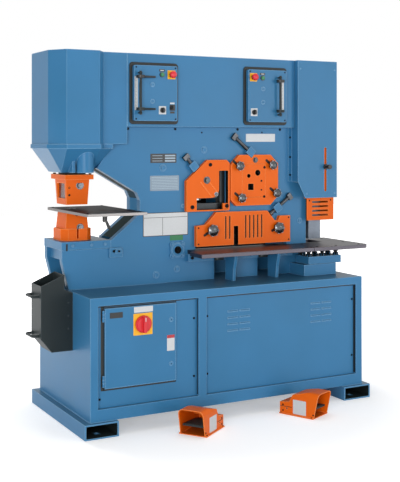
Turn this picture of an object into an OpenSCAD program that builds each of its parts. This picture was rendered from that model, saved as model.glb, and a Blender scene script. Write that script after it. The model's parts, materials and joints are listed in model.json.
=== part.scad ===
// Hydraulic ironworker with a punch, three shears and a notcher on a welded base.
// Millimetres. X runs along the front to the right, Y to the back and Z up.
// The origin is on the floor, at the centre of the four anchor holes.

/* [Base] */
// Length of the base cabinet
base_len = 1750; // [1700:10:1800]
// Depth of the base cabinet
base_depth = 792; // [770:2:830]
// Height of the cabinet above the fork tubes
cab_h = 645; // [625:5:665]
// Height of a fork tube
tube_h = 80; // [70:1:95]
// Width of a fork tube
tube_w = 190; // [170:2:210]
// Wall of a fork tube
tube_wall = 8; // [5:1:12]
// How far a fork tube stands out past the cabinet's end
tube_side = 40; // [20:5:50]
// How far a fork tube stands out past the front and the back
tube_lip = 25; // [10:5:40]
// Radius of a floor anchor hole
anchor_r = 11; // [8:0.5:13]
// Thickness of the deck plate
deck_t = 20; // [12:1:28]
// Thickness of the cabinet walls
wall_t = 6; // [4:1:10]
// Width of the front stiles and of the top rail
stile_w = 45; // [40:1:50]
// Height of the bottom rail
rail_h = 65; // [50:1:75]
// Distance from the cabinet's left end to the middle post
post_in = 636; // [600:4:680]
// Width of the middle post
post_w = 50; // [40:2:60]
// Depth of the folded front frame
fold_d = 22; // [16:1:26]
// Sheet thickness of panels and covers
sheet_t = 3; // [2:0.5:4]
// Width of one louvre
louvre_w = 65; // [50:1:70]
// Height between louvre rows
louvre_pitch = 36; // [30:1:40]

/* [Electrical box] */
// Width of the electrical door
door_w = 415; // [380:5:430]
// Height of the electrical door
door_h = 420; // [380:5:430]
// Distance from the cabinet's left end to the door's hinge edge
door_in = 86; // [80:1:92]
// Height of the door's lower edge above the bottom rail
door_up = 99; // [80:1:105]
// Depth of the door's folded rim
door_d = 11; // [9:0.5:13]
// Depth of the electrical box
box_d = 170; // [140:5:200]
// Radius of the disconnect knob
disc_r = 46; // [38:1:48]

/* [Frame] */
// Thickness of the two frame plates
plate_t = 40; // [30:1:45]
// Gap between the frame plates
plate_gap = 204; // [196:2:216]
// Distance from the cabinet's front to the front plate
plate_set = 319; // [305:1:330]
// Length of the frame from the cabinet's left end
frame_len = 1562; // [1550:2:1575]
// Height of the frame plates above the deck
frame_h = 1285; // [1270:5:1290]
// Height of the bolster's top above the deck
bolster_h = 263; // [250:1:275]
// Thickness of the bolster
bolster_t = 45; // [35:1:55]
// Distance from the punch axis to the back of the throat
throat_d = 353; // [340:1:365]
// How much the inner throat is cut back behind the front plate
relief = 45; // [35:1:50]
// Radius of the beam's pivot pin
pin_r = 37; // [32:1:40]

/* [Punch] */
// Distance from the cabinet's left end to the punch axis
punch_in = 75; // [68:1:82]
// Radius of the ram
ram_r = 45; // [40:1:50]
// Radius of the punch
punch_r = 11; // [8:0.5:13]
// Radial play between punch and die
die_play = 0.4; // [0.3:0.1:0.6]
// Half width of the stripper's flange
strip_half = 84; // [78:1:90]
// Height of the stripper below the ram housing
strip_h = 167; // [155:1:175]
// Half width of the die holder's block
holder_half = 59; // [54:1:64]
// Thickness of the punch table
table_t = 15; // [10:1:18]

/* [Covers] */
// Height of the covers above the frame plates
cover_h = 22; // [15:1:45]
// How far the upper cover stands out from the plates
cover_out = 34; // [28:1:40]
// Half depth of the octagonal tower
tower_half = 246; // [240:1:256]
// How far the notcher cover stands out from the plates
notch_out = 70; // [60:1:80]
// Length of the notcher cover
notch_len = 292; // [280:2:300]
// Width of a control station panel
station_w = 269; // [255:1:280]
// Height of a control station panel
station_h = 312; // [300:1:330]
// Width of the rubber trim round a station
trim_w = 18; // [12:1:20]
// Radius of an emergency stop head
stop_r = 20; // [18:0.5:24]

/* [Shears] */
// How far the guards stand out from the front plate
guard_d = 29; // [26:1:34]
// Height of the shear table above the deck
shear_up = 181; // [176:1:186]
// Thickness of the shear table
shear_t = 22; // [16:1:26]
// Depth of the shear table in front of the plate
shear_d = 254; // [230:2:270]
// Height of the flat bar slot
slot_h = 18; // [14:1:20]
// Thickness of the shear beam
beam_t = 100; // [90:1:110]
// Radius of a guard's star knob
knob_r = 28; // [24:1:30]

/* [Slug bin and pedals] */
// Width of the slug bin
bin_w = 180; // [160:2:190]
// Depth of the slug bin
bin_d = 157; // [145:1:170]
// Width of a foot pedal's shell
pedal_w = 164; // [150:2:176]
// Length of a foot pedal's shell
pedal_len = 250; // [236:2:262]
// Height of a foot pedal's shell
pedal_h = 140; // [130:1:150]

/* [Hidden] */
$fn = 64;

blue = "#4682af";
orange = "#f0701e";
steel = "#a9abac";
black = "#2a2e2e";
red = "#c8201c";
green = "#2f8f3c";

run_gap = 0.05;
free_gap = 0.5;

left_x = -base_len / 2;
right_x = base_len / 2;
frame_r = left_x + frame_len;
front_y = -base_depth / 2;
back_y = base_depth / 2;
deck_z = tube_h + cab_h;

plate_y = front_y + plate_set;
inner_y = plate_y + plate_t;
far_y = inner_y + plate_gap;
rear_y = far_y + plate_t;
mid_y = (plate_y + rear_y) / 2;

// Points along the machine, measured from the cabinet's left end
function along(d) = left_x + d;
// Heights above the deck
function above(h) = deck_z + h;

punch_x = along(punch_in);
pivot_x = along(663);
pivot_z = above(186);
bolster_z = above(bolster_h);
throat_x = punch_x + throat_d;
frame_top = above(frame_h);
cover_top = frame_top + cover_h;
cover_y = plate_y - cover_out;
cover_back = rear_y + cover_out;
notch_y = plate_y - notch_out;
notch_back = rear_y + notch_out;
guard_y = plate_y - guard_d;

housing_z = above(641);
band_z = above(773);
tower_z = band_z + 24;
strip_z = housing_z - strip_h - 13;
strip_top = housing_z - 13;
shear_z = above(shear_up);
slot_z = shear_z + slot_h;
holder_z = bolster_z + 157;
ram_low = strip_z + 104;
upper_x = punch_x + 260;
notch_x = frame_r - 106;
notch_end = notch_x + notch_len;

// An extrusion of an outline drawn in X and Z, from y0 over a thickness t
module slab(y0, t) {
  translate([0, y0 + t, 0]) rotate([90, 0, 0]) linear_extrude(t) children();
}

// A round bar along Y
module bar_y(x, z, r, y0, y1) {
  translate([x, y1, z]) rotate([90, 0, 0]) cylinder(r = r, h = y1 - y0);
}

// A box given by two corners
module span(a, b) {
  translate(a) cube(b - a);
}

// A rectangle with true round corners, centred
module round_rect(w, h, r) {
  square([w - 2 * r, h], center = true);
  square([w, h - 2 * r], center = true);
  for (sx = [-1, 1], sy = [-1, 1])
    translate([sx * (w / 2 - r), sy * (h / 2 - r)]) circle(r);
}

// The corner where two edges of an outline meet after each moves inward by t
function unit(v) = v / norm(v);
function inward(p, q, t) = let(u = unit(q - p)) [-u[1], u[0]] * t;
function cross2(a, b) = a[0] * b[1] - a[1] * b[0];
function meet(a, da, b, db) = a + da * cross2(b - a, db) / cross2(da, db);
function inset(pts, t) = [
  for (i = [0:len(pts) - 1])
    let(
      p = pts[(i + len(pts) - 1) % len(pts)],
      q = pts[i],
      r = pts[(i + 1) % len(pts)]
    )
    meet(q + inward(p, q, t), q - p, q + inward(q, r, t), r - q)
];

// Fork tubes with the anchor holes in their floors
anchor_x = base_len / 2 + tube_side - tube_w / 2;
anchor_y = base_depth / 2 - 50;

module fork_tubes() {
  run = base_depth + 2 * tube_lip;
  color(blue)
    for (sx = [-1, 1])
      translate([sx * anchor_x, 0, 0])
        difference() {
          translate([-tube_w / 2, -run / 2, 0]) cube([tube_w, run, tube_h]);
          translate([-tube_w / 2 + tube_wall, -run / 2 - 1, tube_wall])
            cube([tube_w - 2 * tube_wall, run + 2, tube_h - 2 * tube_wall]);
          for (sy = [-1, 1])
            translate([0, sy * anchor_y, -1]) cylinder(r = anchor_r, h = tube_wall + 2);
        }
}

// Welded cabinet: deck, walls and a folded front frame with two openings
open_z = tube_h + rail_h;
open_top = deck_z - stile_w;
open_l = along(stile_w);
post_l = along(post_in);
post_r = along(post_in + post_w);
open_r = right_x - stile_w;
panel_y = front_y + fold_d;

module base_cabinet() {
  color(blue)
    difference() {
      span([left_x, front_y, tube_h], [right_x, back_y, deck_z]);
      span(
        [left_x + wall_t, front_y + fold_d, tube_h + wall_t],
        [right_x - wall_t, back_y - wall_t, deck_z - deck_t]
      );
      span([open_l, front_y - 1, open_z], [post_l, panel_y + 1, open_top]);
      span([post_r, front_y - 1, open_z], [open_r, panel_y + 1, open_top]);
    }
}

// Left panel with the cut-out for the electrical box
door_l = along(door_in);
door_r = door_l + door_w;
door_z = open_z + door_up;
door_top = door_z + door_h;
panel_lap = 12;

seal_w = 14;

module enclosure_panel() {
  color(blue) {
    difference() {
      span(
        [open_l - panel_lap, panel_y, open_z - panel_lap],
        [post_l + panel_lap, panel_y + sheet_t, open_top + panel_lap]
      );
      span(
        [door_l + seal_w, panel_y - 1, door_z + seal_w],
        [door_r - seal_w, box_y + 1, door_top - seal_w]
      );
    }
    hinge_pins();
  }
}

// Right panel with two groups of pressed louvres
louvre_r = 7;
louvre_z = open_z + 330;

module louvre() {
  difference() {
    rotate([0, 90, 0]) cylinder(r = louvre_r, h = louvre_w, center = true);
    rotate([0, 90, 0]) cylinder(r = louvre_r - 2, h = louvre_w - 4, center = true);
    translate([-louvre_w / 2 - 1, 0, -louvre_r - 1]) cube([louvre_w + 2, louvre_r + 1, 2 * louvre_r + 2]);
    translate([-louvre_w / 2 - 1, -louvre_r - 1, -louvre_r - 1])
      cube([louvre_w + 2, louvre_r + 2, louvre_r + 1]);
  }
}

module louvre_panel() {
  groups = [post_r + 216, open_r - 241];
  lap = 0.5;
  spots = [for (x = groups, c = [-1, 1], k = [0:3])
    [x + c * (louvre_w / 2 + 7), louvre_z + k * louvre_pitch]];
  color(blue) {
    difference() {
      span(
        [post_r - panel_lap, panel_y, open_z - panel_lap],
        [open_r + panel_lap, panel_y + sheet_t, open_top + panel_lap]
      );
      for (s = spots)
        translate([s[0] - louvre_w / 2 + 2, panel_y - 1, s[1]])
          cube([louvre_w - 4, sheet_t + 2, louvre_r - 2]);
    }
    for (s = spots) translate([s[0], panel_y + lap, s[1]]) louvre();
  }
}

// Hinges of the electrical door on the left panel
box_y = panel_y + sheet_t;
box_wall = 6;
door_gap = 1;
door_y = panel_y - door_d - door_gap;
hinge_x = door_l - 7;
hinge_y = door_y + 4;
hinge_r = 4;
knuckle_r = hinge_r + 3;
leaf_h = 60;
leaf_t = 2;
leaf_third = leaf_h / 3 - 1;
leaf_spots = [40, door_h - 40];

// The pins with their outer knuckles and leaves
module hinge_pins() {
  for (h = leaf_spots)
    translate([hinge_x, hinge_y, door_z + h]) {
      translate([0, 0, -leaf_h / 2]) cylinder(r = hinge_r, h = leaf_h);
      for (s = [-1, 1]) translate([0, 0, s * leaf_h / 3]) {
        cylinder(r = knuckle_r, h = leaf_third, center = true);
        translate([-leaf_t / 2, 0, -leaf_third / 2]) cube([leaf_t, panel_y - hinge_y + 1, leaf_third]);
      }
    }
}

// The middle knuckles that turn on the pins with the door
module hinge_knuckles() {
  for (h = leaf_spots)
    translate([hinge_x, hinge_y, door_z + h])
      difference() {
        union() {
          cylinder(r = knuckle_r, h = leaf_third, center = true);
          translate([0, 3, -leaf_third / 2]) cube([door_l - hinge_x + 1, 3, leaf_third]);
        }
        cylinder(r = hinge_r + run_gap, h = leaf_h, center = true);
      }
}

// Electrical tray behind the door, with its mounting plate and switchgear
module electrical_box() {
  low = [door_l, door_z];
  high = [door_r, door_top];
  base_t = 6;
  gear_y = box_y + box_d - box_wall - base_t;
  contactors = 4;
  contactor = [46, 70, 80];
  rail_d = 50;
  rail_w = 30;
  supply = [70, 90, 100];
  color("#c9ccc8") {
    difference() {
      span(
        [low[0] - box_wall, box_y, low[1] - box_wall],
        [high[0] + box_wall, box_y + box_d, high[1] + box_wall]
      );
      span([low[0], box_y - 1, low[1]], [high[0], box_y + box_d - box_wall, high[1]]);
    }
    span([low[0] + 20, gear_y, low[1] + 20], [high[0] - 20, gear_y + base_t, high[1] - 20]);
    for (k = [0:contactors - 1])
      translate([low[0] + 40 + k * 60, gear_y - contactor[1], low[1] + 220]) cube(contactor);
    for (k = [0, 1])
      translate([low[0] + 40, gear_y - rail_d, low[1] + 90 + k * 70]) cube([door_w - 80, rail_d, rail_w]);
    translate([high[0] - 110, gear_y - supply[1], low[1] + 230]) cube(supply);
  }
}

// Oil tank, pump and motor inside the cabinet
module hydraulic_unit() {
  tank = [520, 380, 260];
  tank_at = [along(1010), -80, tube_h + wall_t];
  motor_r = 80;
  motor_l = 250;
  flange_r = motor_r + 15;
  flange_t = 20;
  pump_r = 50;
  pump_l = 90;
  axis_h = motor_r + 12;
  foot = [60, 80, 40];
  foot_x = [130, 270];
  filler = [80, 80, 110];
  color(black) translate(tank_at) {
    cube(tank);
    translate([100, tank[1] / 2, tank[2] + axis_h]) rotate([0, 90, 0]) {
      cylinder(r = motor_r, h = motor_l);
      translate([0, 0, motor_l]) cylinder(r = flange_r, h = flange_t);
      translate([0, 0, motor_l + flange_t]) cylinder(r = pump_r, h = pump_l);
    }
    for (x = foot_x) translate([x, tank[1] / 2 - foot[1] / 2, tank[2]]) cube(foot);
    translate([tank[0] - filler[0] - 30, 60, tank[2]]) cube(filler);
  }
}

// Throat edge, cut back by a distance c, from the bolster up to the ram housing
arm_edge = [punch_x + 92, above(663)];
arm_slope = 77 / 108;
function arm_x(z) = arm_edge[0] + (z - arm_edge[1]) * arm_slope;
function throat(c) = [
  [punch_x + 181 + c, bolster_z],
  [throat_x + c, bolster_z + 139],
  [throat_x + c, bolster_z + 218],
  [throat_x - 18 + c, bolster_z + 258],
  [arm_edge[0] + c, arm_edge[1]]
];
function flip(v) = [for (i = [len(v) - 1:-1:0]) v[i]];
arm_end = arm_x(band_z);
toe_x = along(-38);
seat_x = punch_x + 175;

// Outline of a frame plate
module plate_outline(c) {
  polygon(concat(
    [
      [along(2), deck_z], [toe_x, above(158)], [toe_x, bolster_z - bolster_t],
      [seat_x + c, bolster_z - bolster_t], [seat_x + c, bolster_z]
    ],
    throat(c),
    [
      [arm_x(arm_edge[1]), arm_edge[1]], [arm_end, band_z], [arm_end, frame_top],
      [frame_r, frame_top], [frame_r, deck_z]
    ]
  ));
}

// Passages that go through both plates: angle, rod and flat bar
angle_l = along(779);
angle_r = along(988);
angle_in = along(932);
angle_z = above(412);
angle_mid = above(476);
angle_top = above(639);
rod_spots = [[along(1194), above(623), 18], [along(1131), above(605), 12]];
square_spot = [along(1145), above(539)];
square_side = 38;
flat_l = along(785);
flat_r = frame_r - 142;
flat_low = shear_z - 40;
flat_top = slot_z + 60;
corner_r = 55;
guard_play = 4;

// The L that the guard leaves open, with a rounded inner corner
module angle_shape() {
  mid = angle_mid + guard_play;
  inner = angle_in - guard_play;
  translate([angle_l, angle_z]) square([angle_r - angle_l, mid - angle_z]);
  translate([inner, angle_z]) square([angle_r - inner, angle_top - angle_z]);
  difference() {
    translate([inner - corner_r, mid]) square(corner_r);
    translate([inner - corner_r, mid + corner_r]) circle(corner_r);
  }
}

module rod_shapes(grow) {
  for (s = rod_spots) translate([s[0], s[1]]) circle(s[2] + grow);
  translate(square_spot) square(square_side + 2 * grow, center = true);
}

// Rectangles in X and Z that hold the blades, given by two corners
angle_win = [[angle_l, angle_z], [angle_r, angle_top]];
rod_win = [[along(1096), above(500)], [along(1236), above(664)]];
flat_win = [[flat_l, flat_low], [flat_r, flat_top]];
module window(w, grow) {
  translate(w[0] - [grow, grow]) square(w[1] - w[0] + 2 * [grow, grow]);
}

// Blade set in the angle and rod windows, grown by g: three bars leave an L, three blocks have one hole each
die_seam = 0.4;
bar_w = 34;
bar_h = 36;
module angle_bars(g, play) {
  a = angle_win[0] - [g, g];
  b = angle_win[1] + [g, g];
  translate([angle_r - bar_w + play, a[1]]) square([b[0] - angle_r + bar_w - play, b[1] - a[1]]);
  translate(a) square([angle_r - bar_w + play - die_seam - a[0], angle_z + bar_h - play - a[1]]);
  translate([a[0], angle_mid + play]) square([angle_in - play - a[0], b[1] - angle_mid - play]);
}
module rod_blocks(g, play) {
  a = rod_win[0] - [g, g];
  b = rod_win[1] + [g, g];
  split_x = (rod_spots[0][0] - rod_spots[0][2] + rod_spots[1][0] + rod_spots[1][2]) / 2;
  split_z = square_spot[1] + square_side;
  difference() {
    union() {
      translate(a) square([b[0] - a[0], split_z - a[1]]);
      translate([a[0], split_z + die_seam]) square([split_x - a[0], b[1] - split_z - die_seam]);
      translate([split_x + die_seam, split_z + die_seam])
        square([b[0] - split_x - die_seam, b[1] - split_z - die_seam]);
    }
    rod_shapes(play);
  }
}

module passages() {
  window(angle_win, 0);
  window(rod_win, 0);
  window(flat_win, 0);
}

drop_w = 150;
// How far each slug opening starts left of its table leg
drop_in = [54, 50];
drop_top = shear_z - 66;

module front_plate() {
  color(blue)
    difference() {
      slab(plate_y, plate_t)
        difference() {
          plate_outline(0);
          passages();
          for (k = [0, 1])
            translate([leg_xs[k] - drop_in[k], deck_z - 1]) square([drop_w, drop_top - deck_z + 1]);
        }
      bar_y(pivot_x, pivot_z, pin_r + run_gap, plate_y - 1, inner_y + 1);
    }
}

module back_plate() {
  color(blue)
    difference() {
      slab(far_y, plate_t)
        difference() {
          plate_outline(relief);
          passages();
        }
      bar_y(pivot_x, pivot_z, pin_r + run_gap, far_y - 1, rear_y + 1);
    }
}

// Spacers between the plates: throat liner, top bar and foot bar
liner_t = 25;
top_bar = 60;

module frame_core() {
  color("#27403f")
    slab(inner_y, plate_gap) polygon(concat(throat(relief), flip(throat(relief + liner_t))));
  color(blue) {
    span([upper_x + 40, inner_y, frame_top - top_bar], [frame_r, far_y, frame_top]);
    span([along(150), inner_y, deck_z], [along(540), far_y, deck_z + 60]);
  }
}

// Bolster on the lower arm, bored for the slugs
module bolster() {
  slug_r = punch_r + 12;
  color(blue)
    difference() {
      union() {
        span([toe_x - 2, plate_y, bolster_z - bolster_t], [seat_x, rear_y, bolster_z]);
        span([toe_x + 22, inner_y, bolster_z - 105], [seat_x - 40, far_y, bolster_z - bolster_t]);
      }
      translate([punch_x, mid_y, bolster_z - 200]) cylinder(r = slug_r, h = 210);
    }
}

// Tapered ram housing with its flange, front boss and fin
boss_r = 46;
gland_r = 66;

module ram_housing() {
  low = [punch_x - 102, arm_x(housing_z) - run_gap];
  color(blue)
    difference() {
      union() {
        hull() {
          translate([low[0], mid_y - 101, housing_z]) cube([low[1] - low[0], 202, 0.01]);
          translate([0, 0, band_z - 0.01]) linear_extrude(0.01) polygon(tower_plan(0, arm_end - run_gap));
        }
        translate([0, 0, band_z]) linear_extrude(24) polygon(tower_plan(7, arm_end));
        translate([punch_x + 8, mid_y - tower_half + boss_r + 20, housing_z])
          cylinder(r = boss_r, h = band_z - housing_z);
        span([punch_x - 62, mid_y - 170, housing_z], [punch_x - 46, mid_y - 80, band_z]);
        translate([punch_x, mid_y, strip_top]) cylinder(r = gland_r, h = housing_z - strip_top);
      }
      translate([punch_x, mid_y, strip_top - 1]) cylinder(r = ram_r + run_gap, h = tower_z - strip_top + 2);
    }
}

// Plan of the octagonal tower, grown by g and closed at x_end
function tower_plan(g, x_end) = let(
    f = mid_y - tower_half - g,
    s = cover_y - g,
    x = punch_x,
    low = [
      [x - 190 - g, mid_y - 136], [x - 124, f], [x + 68 + g / 2, f], [x + 117 + g / 2, s], [x_end, s]
    ]
  )
  concat(low, [for (p = flip(low)) [p[0], 2 * mid_y - p[1]]]);

module tower_cover() {
  plan = tower_plan(0, upper_x);
  color(blue)
    difference() {
      translate([0, 0, tower_z]) linear_extrude(cover_top - tower_z) polygon(plan);
      translate([0, 0, tower_z - 1])
        linear_extrude(cover_top - tower_z - sheet_t + 1) polygon(inset(plan, sheet_t));
      span([upper_x - sheet_t - 1, plate_y - 4, tower_z - 1], [upper_x + 1, rear_y + 4, frame_top + 4]);
    }
}

// Upper cover: front, top and back sheet with lips that close onto the plates
cover_low = above(895);
cover_end = notch_x - 2;

module upper_cover() {
  color(blue)
    difference() {
      span([upper_x, cover_y, cover_low], [cover_end, cover_back, cover_top]);
      span(
        [upper_x - 1, cover_y + sheet_t, cover_low + sheet_t],
        [cover_end + 1, cover_back - sheet_t, cover_top - sheet_t]
      );
      span([upper_x - 1, plate_y, cover_low - 1], [cover_end + 1, rear_y, cover_low + sheet_t + 1]);
    }
}

// Notcher cover with the slot of the stroke stop
notch_low = above(463);
stop_x = notch_x + 205;
stop_low = above(511);
stop_high = above(765);
stop_w = 18;

module notcher_cover() {
  color(blue)
    difference() {
      slab(notch_y, notch_back - notch_y)
        polygon([
          [notch_x, notch_low + 102], [notch_x + 55, notch_low], [notch_end, notch_low],
          [notch_end, cover_top], [notch_x, cover_top]
        ]);
      span(
        [notch_x + sheet_t, notch_y + sheet_t, notch_low - 1],
        [notch_end - sheet_t, notch_back - sheet_t, cover_top - sheet_t]
      );
      span([notch_x - 1, plate_y, notch_low - 1], [notch_x + sheet_t + 1, rear_y, cover_top - sheet_t]);
      span(
        [notch_x - 1, rear_y, notch_low - 1],
        [notch_x + sheet_t + 1, notch_back - sheet_t, cover_top - sheet_t]
      );
      slab(notch_y - 1, sheet_t + 2) {
        translate([stop_x - stop_w / 2, stop_low]) square([stop_w, stop_high - stop_low]);
        for (z = [stop_low, stop_high]) translate([stop_x, z]) circle(stop_w / 2);
      }
    }
  color(blue) span([notch_x - 28, plate_y - sheet_t, notch_low + 102], [notch_x + 1, plate_y, cover_low - 2]);
}

// Control stations
station_l = along(498);
station_r = along(1240);
station_z = above(1083);
trim_d = 8;
station_d = 25;
trim_y = cover_y - trim_d;
face_y = trim_y - station_d;
stop_spots = [[station_l + 97, station_z + 107], [station_r - 100, station_z + 110]];
start_spots = [[station_l + 37, station_z + 106], [station_r - 36, station_z + 107]];
turn_spots = [[station_l + 40, station_z - 95], [station_r - 95, station_z - 98]];
key_spot = [station_l + 102, station_z - 80];
stem_r = 10;
button_r = 11;
turn_r = 11;
stem_d = 14;
bore_d = station_d - 2;

module station_trims() {
  color(black)
    for (x = [station_l, station_r])
      slab(trim_y, trim_d)
        translate([x, station_z]) round_rect(station_w + 2 * trim_w, station_h + 2 * trim_w, 20);
}

module station_panels() {
  holes = concat(
    [for (s = stop_spots) [s[0], s[1], stem_r]],
    [for (s = start_spots) [s[0], s[1], button_r]],
    [for (s = turn_spots) [s[0], s[1], turn_r]],
    [[key_spot[0], key_spot[1], turn_r]]
  );
  color(blue)
    difference() {
      for (x = [station_l, station_r])
        slab(face_y, station_d) translate([x, station_z]) round_rect(station_w, station_h, 10);
      for (h = holes) bar_y(h[0], h[1], h[2] + run_gap, face_y - 1, face_y + bore_d);
    }
}

// Stroke limit rods: a round rod on two posts at the outer side of each station, with a fixed lower stop
rod_xs = [station_l - 108, station_r + 74];
rod_off = 27;
rod_r = 7;
rod_y = face_y - rod_off;
rod_half = 122;
post_up = rod_half - 10;
stop_lift = 90;
disc_h = 16;
limit_r = 24;
arm_r = 6;
arm_len = 90;

// A knurled disc on the rod; arm is the length of its feeler toward the station
module limit_disc(x, z, arm) {
  translate([x, rod_y, z - disc_h / 2]) cylinder(r = limit_r, h = disc_h);
  if (arm > 0) translate([x, rod_y, z]) rotate([0, 90, 0]) cylinder(r = arm_r, h = arm);
}

module stroke_rods() {
  color(black)
    for (x = rod_xs) {
      translate([x, rod_y, station_z - rod_half]) cylinder(r = rod_r, h = 2 * rod_half);
      for (s = [-1, 1]) {
        bar_y(x, station_z + s * post_up, 5, rod_y, face_y);
        translate([x, rod_y, station_z + s * post_up]) sphere(r = 9);
      }
      limit_disc(x, station_z - stop_lift, x < station_l ? arm_len : 0);
    }
}

// Sliding stop on a stroke rod
module stroke_stop(x, arm) {
  color(black)
    difference() {
      limit_disc(x, station_z + stop_lift, arm);
      translate([x, rod_y, station_z + stop_lift - disc_h]) cylinder(r = rod_r + run_gap, h = 2 * disc_h);
    }
}
module stroke_stop_left() { stroke_stop(rod_xs[0], arm_len); }
module stroke_stop_right() { stroke_stop(rod_xs[1], 0); }

// Emergency stop: mushroom head on a stem
module estop(s) {
  color(red)
    translate([s[0], face_y, s[1]]) rotate([90, 0, 0]) rotate_extrude()
      polygon([
        [0, -stem_d], [stem_r, -stem_d], [stem_r, 14], [stop_r - 3, 16], [stop_r, 19],
        [stop_r, 27], [stop_r - 4, 33], [stop_r - 11, 37], [0, 38]
      ]);
}
module estop_left() { estop(stop_spots[0]); }
module estop_right() { estop(stop_spots[1]); }

// Start button with a rounded rim
module start_button(s) {
  color(green)
    translate([s[0], face_y, s[1]]) rotate([90, 0, 0]) rotate_extrude()
      polygon([[0, -stem_d], [button_r, -stem_d], [button_r, 10], [button_r - 2, 12], [0, 12]]);
}
module start_left() { start_button(start_spots[0]); }
module start_right() { start_button(start_spots[1]); }

// Selector: round base with a finger bar
module selector(s, base_r, bar_len) {
  color(black)
    translate([s[0], face_y, s[1]]) rotate([90, 0, 0]) {
      translate([0, 0, -stem_d]) cylinder(r = turn_r, h = stem_d + free_gap);
      translate([0, 0, free_gap]) cylinder(r = base_r, h = 8);
      translate([-4, -bar_len / 2, 8]) cube([8, bar_len, 14]);
    }
}
module selector_left() { selector(turn_spots[0], 15, 28); }
module selector_right() { selector(turn_spots[1], 15, 28); }
module key_switch() { selector(key_spot, 13, 18); }

// Punch and shear cylinders with flanges and end caps
module cylinders() {
  shear_x = frame_r - 62;
  shear_y = inner_y + 90;
  rod_z = above(790);
  barrel_z = above(830);
  shear_cap = 65;
  cap_z = frame_top - top_bar - shear_cap;
  head_gap = 60;
  flange = [135, 30];
  cap = [125, 40];
  barrel = [112, cover_top - head_gap - cap[1] - flange[1] - tower_z];
  color(steel) {
    difference() {
      translate([punch_x, mid_y, tower_z]) {
        cylinder(r = flange[0], h = flange[1]);
        cylinder(r = barrel[0], h = flange[1] + barrel[1]);
        translate([0, 0, flange[1] + barrel[1]]) cylinder(r = cap[0], h = cap[1]);
      }
      translate([punch_x, mid_y, tower_z - 1]) cylinder(r = ram_r + 8, h = 331);
    }
    translate([shear_x, shear_y, 0]) {
      translate([0, 0, rod_z]) cylinder(r = 40, h = barrel_z - rod_z);
      translate([0, 0, barrel_z]) cylinder(r = 70, h = cap_z - barrel_z);
      translate([0, 0, cap_z]) cylinder(r = 80, h = shear_cap);
    }
  }
}

// Punch ram, coupling nut and punch
nut_h = 28;
collar_h = 14;
module punch_ram() {
  color(steel)
    translate([punch_x, mid_y, 0]) {
      translate([0, 0, ram_low]) cylinder(r = ram_r, h = tower_z + 240 - ram_low);
      translate([0, 0, ram_low - nut_h]) cylinder(r = 36, h = nut_h, $fn = 6);
    }
}

module punch() {
  tip = strip_z + 6;
  length = ram_low - nut_h - tip;
  color("#77797a")
    translate([punch_x, mid_y, tip]) {
      cylinder(r = punch_r, h = length);
      translate([0, 0, length - collar_h]) cylinder(r = punch_r + 5, h = collar_h);
    }
}

// Stripper: flanged tapered box round the punch, open in a window at the left front corner
strip_wall = 12;
strip_base = 14;
strip_flange = 27;
strip_body = strip_top - strip_flange;
taper = 8;
body_half = strip_half - 14;

module stripper_solid(h_low, half_low, h_top, half_top) {
  hull() {
    translate([punch_x - half_low, mid_y - half_low - 15, h_low])
      cube([2 * half_low, 2 * half_low + 30, 0.01]);
    translate([punch_x - half_top, mid_y - half_top - 15, h_top - 0.01])
      cube([2 * half_top, 2 * half_top + 30, 0.01]);
  }
}

window_low = strip_z + 34;
window_high = strip_body - 22;
window_half = 62;

module stripper() {
  color(orange)
    difference() {
      union() {
        stripper_solid(strip_z, body_half - taper, strip_body, body_half);
        translate([punch_x - strip_half, mid_y - strip_half - 29, strip_body])
          cube([2 * strip_half, 2 * strip_half + 58, strip_flange]);
      }
      translate([punch_x - body_half + taper + strip_wall, mid_y - body_half - 3, strip_z + strip_base])
        cube([2 * (body_half - taper - strip_wall), 2 * body_half + 6, strip_top]);
      translate([punch_x, mid_y, strip_z - 1]) cylinder(r = punch_r + 7, h = strip_base + 2);
      span(
        [punch_x - strip_half, mid_y - window_half, window_low],
        [punch_x - 20, mid_y + window_half, window_high]
      );
    }
}

// Clear pane in the stripper's left face
module stripper_window() {
  pane = 4;
  inner_l = punch_x - body_half + taper + strip_wall - pane;
  color([0.8, 0.9, 0.95, 0.4])
    span([inner_l, mid_y - window_half, window_low], [inner_l + pane, mid_y + window_half, window_high]);
}

// Die holder with a bored seat, and the die in it
die_r = 30;
die_h = 61;
die_top = holder_z + table_t + 1;

module die_holder() {
  foot_half = 90;
  foot_z = bolster_z + 65;
  corner = 34;
  color(orange)
    difference() {
      union() {
        translate([punch_x, mid_y, bolster_z])
          linear_extrude(65)
            polygon([
              for (sx = [1, -1]) for (c = [[1, 0], [0, 1]])
                let(k = sx > 0 ? c : [c[1], c[0]])
                [sx * (foot_half - corner * k[1]), -(foot_half - corner * k[0])],
              for (sx = [-1, 1]) for (c = [[1, 0], [0, 1]])
                let(k = sx < 0 ? c : [c[1], c[0]])
                [sx * (foot_half - corner * k[1]), foot_half - corner * k[0]]
            ]);
        hull() {
          translate([punch_x - holder_half - 8, mid_y - 78, foot_z])
            cube([2 * holder_half + 16, 156, 0.01]);
          translate([punch_x - holder_half, mid_y - 70, holder_z - 0.01])
            cube([2 * holder_half, 140, 0.01]);
        }
      }
      translate([punch_x, mid_y, die_top - die_h]) cylinder(r = die_r + run_gap, h = die_h);
      translate([punch_x, mid_y, bolster_z - 1]) cylinder(r = punch_r + 8, h = 200);
      span([punch_x - 6, mid_y - foot_half - 1, bolster_z + 10], [punch_x + 6, mid_y - 60, foot_z + 1]);
    }
}

module die() {
  color("#77797a")
    translate([punch_x, mid_y, die_top - die_h])
      difference() {
        cylinder(r = die_r, h = die_h);
        translate([0, 0, -1]) cylinder(r = punch_r + die_play, h = die_h + 2);
        translate([0, 0, -1]) cylinder(r = punch_r + 4, h = die_h - 20);
      }
}

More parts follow.
